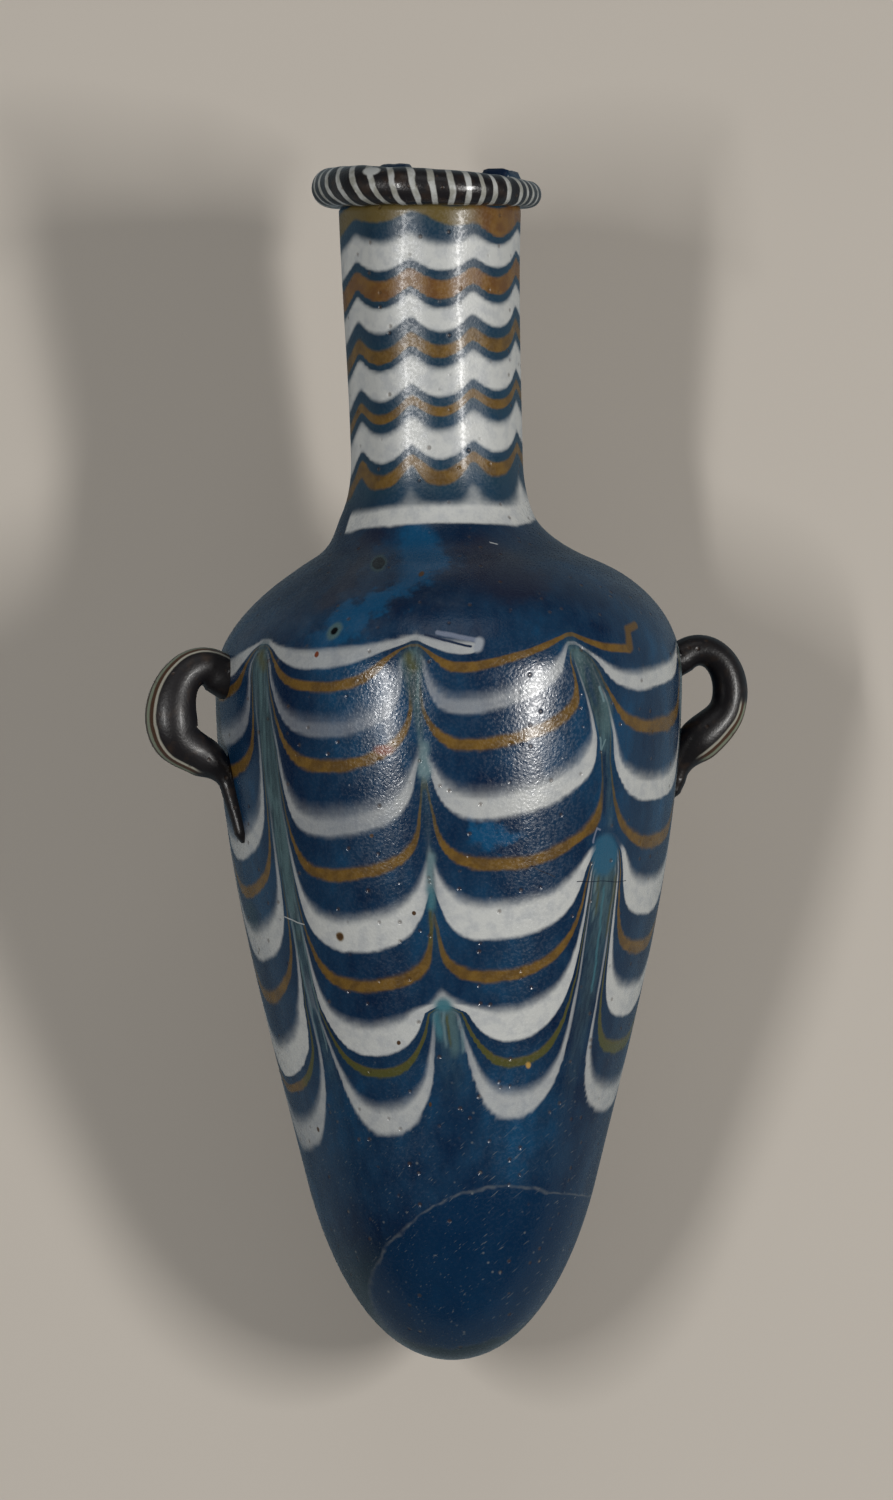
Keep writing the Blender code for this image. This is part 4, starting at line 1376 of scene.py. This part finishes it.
def unrolled(tree, at, shift, sway):
    """A flat place in mm on the unrolled wall, made wavy by a noise that sways it by this many mm."""
    sideways = scaled(tree, shift, sway, times(tree, at.turn, MM_PER_DEGREE))
    upwards = scaled(tree, shift, -0.7 * sway, times(tree, at.level, 1000.0))
    return flat_place(tree, sideways, upwards)


def mark_all(tree, base, place, lines=(), spots=(), strength=1.0):
    """Paints lines and spots over a colour."""
    masks = [(tint, drawn(tree, place, start, end, half, half * 0.5)) for tint, start, end, half in lines]
    masks += [(tint, painted(tree, place, *spot)) for tint, *spot in spots]
    for tint, mask in masks:
        base = paint(tree, times(tree, mask, strength), base, tint)
    return base


def store_streaks(mesh, turn):
    """Stores the streaks' colour and share at each corner, whose turn in degrees is given."""
    corner_vertex = np.zeros(len(mesh.loops), np.int32)
    mesh.loops.foreach_get("vertex_index", corner_vertex)
    height = vertex_places(mesh)[corner_vertex, 1] * 1000
    turn = turn - TURN_RIGHT * (turn > REPEAT_FROM) + TURN_LEFT * (turn < -REPEAT_FROM)
    across_mm = turn * MM_PER_DEGREE + 0.06 * np.sin(height * 1.9) + 0.04 * np.sin(height * 4.3 + 1)
    masks = []
    for streak_colour, start, end, half in STREAKS:
        span = np.subtract(end, start)
        along = ((across_mm - start[0]) * span[0] + (height - start[1]) * span[1]) / (span @ span)
        along = np.clip(along, 0, 1)
        away = np.hypot(across_mm - start[0] - span[0] * along, height - start[1] - span[1] * along)
        masks.append((streak_colour, STREAK_STRENGTH * ease(away, ((half * 0.1, 1.0), (half * 1.9, 0.0)))))
    for blob_colour, centre, size, edge in BLOBS:
        away = np.hypot((across_mm - centre[0]) / size[0], (height - centre[1]) / size[1])
        masks.append((blob_colour, BLOB_STRENGTH * ease(away, ((1 - edge, 1.0), (1 + edge, 0.0)))))
    tint, share = np.zeros((len(turn), 3)), np.zeros(len(turn))
    for mask_colour, mask in masks:
        tint = tint * (1 - mask)[:, None] + np.array(mask_colour[:3]) * mask[:, None]
        share = share * (1 - mask) + mask
    store(mesh, "streak_share", share)
    store(mesh, "streak_tint", tint)


corner_turns = np.zeros(len(vessel_mesh.loops), np.float32)
vessel_mesh.attributes["turn"].data.foreach_get("value", corner_turns)
store_streaks(vessel_mesh, corner_turns)
print("streaks stored at", len(corner_turns), "corners")

# %% [markdown]
# The ochre threads are narrow and even, with a hard edge. Where a stroke thinned them they turn olive, and
# near the mouth they are browner. The white ones are broad, with an upper edge that melts into the blue, and
# the blue shows through where they are thin. Each kind starts and ends somewhere round the vessel, where a
# count is past one value and the turn is past another.

# %% Lay the threads
OCHRE_BAND = (0.095, 0.025, 0.035)
WHITE_HALF_WIDTH, END_ROUNDNESS = 0.165, 70.0

# Ends of threads: two soft steps, the first in the count and the second in the turn, in degrees
WHITE_END, WHITE_START = ((4.74, 4.76), (6.4, 7.6)), ((0.26, 0.24), (-112.0, -113.0))
OCHRE_END, OCHRE_START = ((4.24, 4.26), (50.9, 51.6)), ((0.76, 0.74), (-127.0, -128.0))
NECK_WHITE_START, NECK_OCHRE_END = ((0.26, 0.24), (-63.0, -65.0)), ((4.24, 4.26), (185.0, 186.0))


def keep(tree, count, turn, end):
    """1, but 0 where the count and the turn are both past a thread's end."""
    return inverse(tree, times(tree, fade(tree, count, *end[0]), fade(tree, turn, *end[1])))


def ochre_layer(tree, at, base):
    """The ochre threads, and a teal haze round them on the neck."""
    half_body, half_neck = (calc(tree, "SUBTRACT", count, 0.5) for count in (at.body, at.neck))
    haze = band(tree, half_neck, 0.17, 0.06, 0.06)
    base = paint(tree, times(tree, at.on_neck, 0.6), base, TEAL_EDGE)
    base = paint(tree, times(tree, haze, 0.6), base, TEAL_EDGE)
    end = keep(tree, at.body, at.turn, OCHRE_END)
    start = keep(tree, at.body, at.turn, OCHRE_START)
    neck_end = keep(tree, at.neck, at.turn, NECK_OCHRE_END)
    tone = paint(tree, fade(tree, at.mottle, 0.35, 0.65), OCHRE_DARK, OCHRE_GLASS)
    lowest = times(tree, fade(tree, at.body, 0.8, 0.5), fade(tree, at.turn, -64.0, -56.0))
    body_tone = paint(tree, lowest, tone, OLIVE_GLASS)
    body_tone = paint(tree, at.thin, body_tone, OLIVE_GLASS)
    browner = paint(tree, fade(tree, at.mottle, 0.35, 0.65), NECK_BROWN, NECK_OCHRE)
    neck_tone = paint(tree, fade(tree, at.neck, 2.7, 3.4), tone, browner)
    top_olive = times(tree, fade(tree, at.neck, 4.3, 4.4), fade(tree, at.turn, 40.0, 20.0))
    neck_tone = paint(tree, top_olive, neck_tone, NECK_OLIVE)
    on_body = times(tree, band(tree, half_body, *OCHRE_BAND), times(tree, end, start))
    on_neck = times(tree, band(tree, half_neck, *OCHRE_BAND), neck_end)
    base = paint(tree, times(tree, on_body, scaled(tree, at.thin, -0.6, 1.0)), base, body_tone)
    return paint(tree, on_neck, base, neck_tone)


def white_layer(tree, at, base):
    """The white threads, which end round and turn lilac where the blue shows through."""
    rounding = times(tree, calc(tree, "POWER", calc(tree, "PINGPONG", at.body, 0.5), 2.0), END_ROUNDNESS)
    end = keep(tree, at.body, calc(tree, "ADD", at.turn, rounding), WHITE_END)
    start = keep(tree, at.body, calc(tree, "SUBTRACT", at.turn, rounding), WHITE_START)
    neck_start = keep(tree, at.neck, at.turn, NECK_WHITE_START)
    softer = times(tree, fade(tree, at.body, 0.35, 0.2), 0.03)
    softness = calc(tree, "ADD", scaled(tree, at.opacity, -0.06, 0.085), softer)
    upper = scaled(tree, at.opacity, -0.10, 0.17)
    on_body = band(tree, at.body, WHITE_HALF_WIDTH, softness, upper)
    on_body = times(tree, on_body, times(tree, end, start))
    on_neck = times(tree, band(tree, at.neck, WHITE_HALF_WIDTH, 0.045, 0.075), neck_start)
    tone = paint(tree, fade(tree, at.mottle, 0.3, 0.6), WHITE_SHADE, WHITE_GLASS)
    veil = calc(tree, "MAXIMUM", at.thin, fade(tree, at.opacity, 0.8, 0.35))
    density = times(tree, at.opacity, scaled(tree, at.thin, -0.45, 1.0))
    base = paint(tree, times(tree, on_body, density), base, paint(tree, veil, tone, LILAC_GLASS))
    return paint(tree, on_neck, base, tone)


print("threads are", round(2 * OCHRE_BAND[0], 2), "and", round(2 * WHITE_HALF_WIDTH, 2), "of a turn wide")

# %% [markdown]
# Last come the strokes' smeared cores and the wear: grime in the pits, pale scuffs low down where the vessel
# was rolled about, plain blue inside, and a gloss that is duller on the neck.

# %% Wear, and the whole finish
VESSEL_PIT_DEPTH, VESSEL_COAT = 0.00007, 0.06


def stroke_layer(tree, at, base):
    """What the strokes dragged along: filaments in their cores, the stored streaks, then the single marks."""
    filaments = clouds(tree, at.spot, 0.0007, stretch=(0.5, 9, 0.5))
    streak = paint(tree, fade(tree, filaments, 0.35, 0.65), DEEP_GREY_GREEN, GREY_GREEN)
    smear = times(tree, stored(tree, "smear"), fade(tree, filaments, 0.0, 0.4))
    base = paint(tree, smear, base, streak)
    clear = inverse(tree, stored(tree, "streak_share"))
    base = vectors(tree, "MULTIPLY_ADD", base, clear, stored_vector(tree, "streak_tint"))
    return mark_all(tree, base, unrolled(tree, at, at.wobble, 0.7), LINES, SPOTS)


def wear_layer(tree, at, base, wear):
    """Grime in the pits, scuffs low down, and plain blue inside."""
    base = paint(tree, times(tree, wear["Grime"], 0.55), base, BROWN_GRIME)
    slanting = add(tree, "ShaderNodeVectorRotate", {"Vector": at.spot, "Axis": (0.3, 0.0, 1.0), "Angle": 0.9})
    scratches = fade(tree, clouds(tree, slanting, 0.00011, 1.0, stretch=(1, 16, 3)), 0.67, 0.79)
    scuffs = calc(tree, "MAXIMUM", wear["Flecks"], scratches)
    scuffs = times(tree, scuffs, fade(tree, at.level, 0.034, 0.016))
    base = paint(tree, times(tree, scuffs, 0.35), base, CREAM)
    return paint(tree, stored(tree, "inside"), base, DEEP_BLUE)


def vessel_material():
    """The whole finish of the vessel, layer over layer."""
    made, tree = new_material("dragged_thread_glass")
    at = shared_numbers(tree)
    drift = waver(tree, at.spot, 0.003, 3.0, 0.7)
    base = mark_all(tree, blue_ground(tree, at), unrolled(tree, at, drift, 7.0), (), CLOUDED, 0.8)
    for layer in (flake_scar, ochre_layer, white_layer, stroke_layer):
        base = layer(tree, at, base)
    grain = scaled(tree, at.on_neck, -0.15, 0.32)
    wear = use_group(tree, weathered_skin, Vector=at.spot, Pit_Spacing=0.0009, Pit_Share=0.16, Grain=grain)
    base = wear_layer(tree, at, base, wear)
    rough = scaled(tree, wear["Dullness"], 0.05, scaled(tree, at.on_neck, 0.11, 0.17))
    glint = fade(tree, clouds(tree, at.spot, 0.0003, 1.0), 0.42, 0.6)
    rough = scaled(tree, glint, 0.13, rough)
    glass_shader(tree, base, rough, wear["Height"], VESSEL_PIT_DEPTH, VESSEL_COAT)
    return made


vessel = lay("amphoriskos_body", vessel_mesh, vessel_material(), "body")
print(vessel.name, "has", len(vessel.active_material.node_tree.nodes), "nodes")

# %% [markdown]
# ## The cord's and the handles' glass
#
# The cord is black with a white spiral: the same thread group, fed with the count of the twist. The
# handles are black with a pale double thread along their outer edge, so their mask comes from the way
# round the section.

# %% Finish: twisted cord
BLACK_GLASS, BROWN_BLACK = colour(24, 22, 24), colour(46, 36, 30)
CORD_WHITE, CORD_CREAM = colour(176, 178, 176), colour(142, 142, 134)
PIT_DEPTH = 0.00005


def worn_black(tree, spot, base, pits, grime, dulling, roughness, coat):
    """Pits, grime and gloss for the black pieces. pits are their spacing, their share and the grain."""
    spacing, share, grain = pits
    wear = use_group(tree, weathered_skin, Vector=spot, Pit_Spacing=spacing, Pit_Share=share, Grain=grain)
    base = paint(tree, times(tree, wear["Grime"], grime), base, BROWN_GRIME)
    rough = scaled(tree, wear["Dullness"], dulling, roughness)
    glass_shader(tree, base, rough, wear["Height"], PIT_DEPTH, coat)


def cord_material():
    """Black glass with a white spiral, and one white blob where the rod was nipped off."""
    made, tree = new_material("twisted_cord_glass")
    spot = stored_vector(tree, "own_place")
    count = scaled(tree, waver(tree, spot, 0.0025), 0.35, stored(tree, "stripe"))
    wide = scaled(tree, clouds(tree, spot, 0.003), 0.16, 0.09)
    mottle = clouds(tree, spot, 0.0012)
    dark = paint(tree, fade(tree, mottle, 0.45, 0.75), BLACK_GLASS, BROWN_BLACK)
    pale = paint(tree, fade(tree, mottle, 0.35, 0.65), CORD_CREAM, CORD_WHITE)
    base = paint(tree, band(tree, count, wide, 0.04, 0.04), dark, pale)
    along_mm, around_mm = times(tree, stored(tree, "turn"), 0.155), times(tree, stored(tree, "around"), 10.0)
    blob = painted(tree, flat_place(tree, along_mm, around_mm), (50.9, 6.4), (0.75, 0.55), 0, 0.2)
    base = paint(tree, blob, base, CORD_WHITE)
    worn_black(tree, spot, base, (0.0006, 0.25, 0.6), 0.5, 0.15, 0.30, 0.2)
    return made


rim_cord = lay("twisted_rim_cord", rim_cord_mesh, cord_material(), "rim_cord")
print(rim_cord.name, "laid down")

# %% Finish: black handles with a pale trail
TRAIL_PALE, TRAIL_WHITE, TRAIL_BROWN = colour(120, 128, 108), colour(158, 156, 144), colour(70, 44, 24)

# From the middle of the trail outwards: a brown core, a pale thread, brown again and a white edge
TRAIL_STOPS = (
    (0.0, TRAIL_BROWN),
    (0.06, TRAIL_BROWN),
    (0.09, TRAIL_PALE),
    (0.20, TRAIL_PALE),
    (0.24, TRAIL_BROWN),
    (0.35, TRAIL_BROWN),
    (0.38, TRAIL_WHITE),
    (0.43, TRAIL_WHITE),
    (0.47, BLACK_GLASS),
)


def handle_material():
    """Black glass with a pale double thread along the outer edge."""
    made, tree = new_material("trailed_handle_glass")
    spot = stored_vector(tree, "own_place")
    way = scaled(tree, waver(tree, spot, 0.003), 0.03, stored(tree, "around"))
    edge = calc(tree, "PINGPONG", calc(tree, "ADD", way, 0.5), 0.5)
    black = paint(tree, fade(tree, clouds(tree, spot, 0.0012), 0.5, 0.8), BLACK_GLASS, BROWN_BLACK)
    trail = ramp(tree, times(tree, edge, 4.0), *TRAIL_STOPS)
    trail_mask = times(tree, fade(tree, edge, 0.125, 0.115), stored(tree, "trail"))
    base = paint(tree, trail_mask, black, trail)
    worn_black(tree, spot, base, (0.0008, 0.2, 0.4), 0.4, 0.12, 0.34, 0.05)
    return made


handle_glass = handle_material()
for name, mesh in handle_meshes.items():
    handle = lay("trailed_" + name, mesh, handle_glass, name)
    print(handle.name, "laid down")

# %% [markdown]
# ## The studio
#
# A soft world, two softboxes and a weak fill. The vessel's own highlights say where the lights go: one to
# the left of the camera and a stronger one to the right, both about level with the middle of the body.

# %% Light
LOOK_AT = Vector((-0.0002, 0.0549, 0.0))
WORLD_TINT, WORLD_STRENGTH = (0.80, 0.82, 0.85, 1.0), 0.07

# Name, angles sideways and up from the camera's place, distance, width and height, power and tint
LIGHTS = (
    ("softbox_right", 43, 2, 0.8, (0.26, 0.06), 4.0, (1.0, 0.98, 0.95)),
    ("softbox_left", -31, 3, 0.8, (0.32, 0.04), 2.8, (1.0, 0.99, 0.97)),
    ("fill_above", 0, 55, 1.0, (0.6, 0.4), 0.5, (1.0, 1.0, 1.0)),
)


def place_light(name, side_angle, rise_angle, distance, size, power, tint):
    """An area light that faces the vessel's middle."""
    data = bpy.data.lights.new(name, "AREA")
    data.shape, data.size, data.size_y = "RECTANGLE", *size
    data.energy, data.color = power, tint
    light = put_in_scene(name, data)
    side, rise = radians(side_angle), radians(rise_angle)
    towards = Vector((sin(side) * cos(rise), sin(rise), cos(side) * cos(rise)))
    light.location = vessel_matrix @ (LOOK_AT + towards * distance)
    light.rotation_mode = "QUATERNION"
    light.rotation_quaternion = (vessel_matrix.to_3x3() @ towards).to_track_quat("Z", "Y")


for light in LIGHTS:
    place_light(*light)

world = bpy.data.worlds.new("studio")
world.use_nodes = True
background = world.node_tree.nodes["Background"]
background.inputs["Color"].default_value = WORLD_TINT
background.inputs["Strength"].default_value = WORLD_STRENGTH
bpy.context.scene.world = world
bpy.context.scene.view_settings.view_transform = "Standard"
print("lights:", [light[0] for light in LIGHTS])

# %% [markdown]
# ## The floor and the camera
#
# The floor is plain and pale. The sides of a round glossy vessel would mirror it and look hazy, but on the
# real one they are deep and dark. So the floor's colour is darker and bluer for rays that come off the
# gloss. The camera looks square on to the vessel's front, which now faces up. It stands far away, so that
# nothing shrinks with distance.

# %% Floor and camera
FLOOR_PALE, FLOOR_MIRRORED = (0.50, 0.46, 0.41, 1.0), (0.20, 0.25, 0.28, 1.0)
FLOOR_REACH = 1.5
CAMERA_DISTANCE, SENSOR, VIEW_WIDTH = 1.6, 36.0, 0.135

floor_material, floor_tree = new_material("pale_floor")
floor_shader = floor_tree.nodes["Principled BSDF"]
seen_in_gloss = add(floor_tree, "ShaderNodeLightPath").node.outputs["Is Glossy Ray"]
floor_tone = paint(floor_tree, seen_in_gloss, FLOOR_PALE, FLOOR_MIRRORED)
floor_tree.links.new(floor_tone, floor_shader.inputs["Base Color"])
floor_shader.inputs["Roughness"].default_value = 0.9
floor_mesh = bpy.data.meshes.new("floor")
floor_corners = [(x * FLOOR_REACH, y * FLOOR_REACH, 0) for x, y in ((-1, -1), (1, -1), (1, 1), (-1, 1))]
floor_mesh.from_pydata(floor_corners, [], [(0, 1, 2, 3)])
floor_mesh.materials.append(floor_material)
put_in_scene("floor", floor_mesh)

camera_data = bpy.data.cameras.new("camera")
camera_data.sensor_width, camera_data.lens = SENSOR, SENSOR * CAMERA_DISTANCE / VIEW_WIDTH
camera_data.clip_start, camera_data.clip_end = 0.01, 10.0
camera = put_in_scene("camera", camera_data)
camera.matrix_world = vessel_matrix @ Matrix.Translation(LOOK_AT + Vector((0, 0, CAMERA_DISTANCE)))
bpy.context.scene.camera = camera
print("camera", [round(value, 3) for value in camera.location])
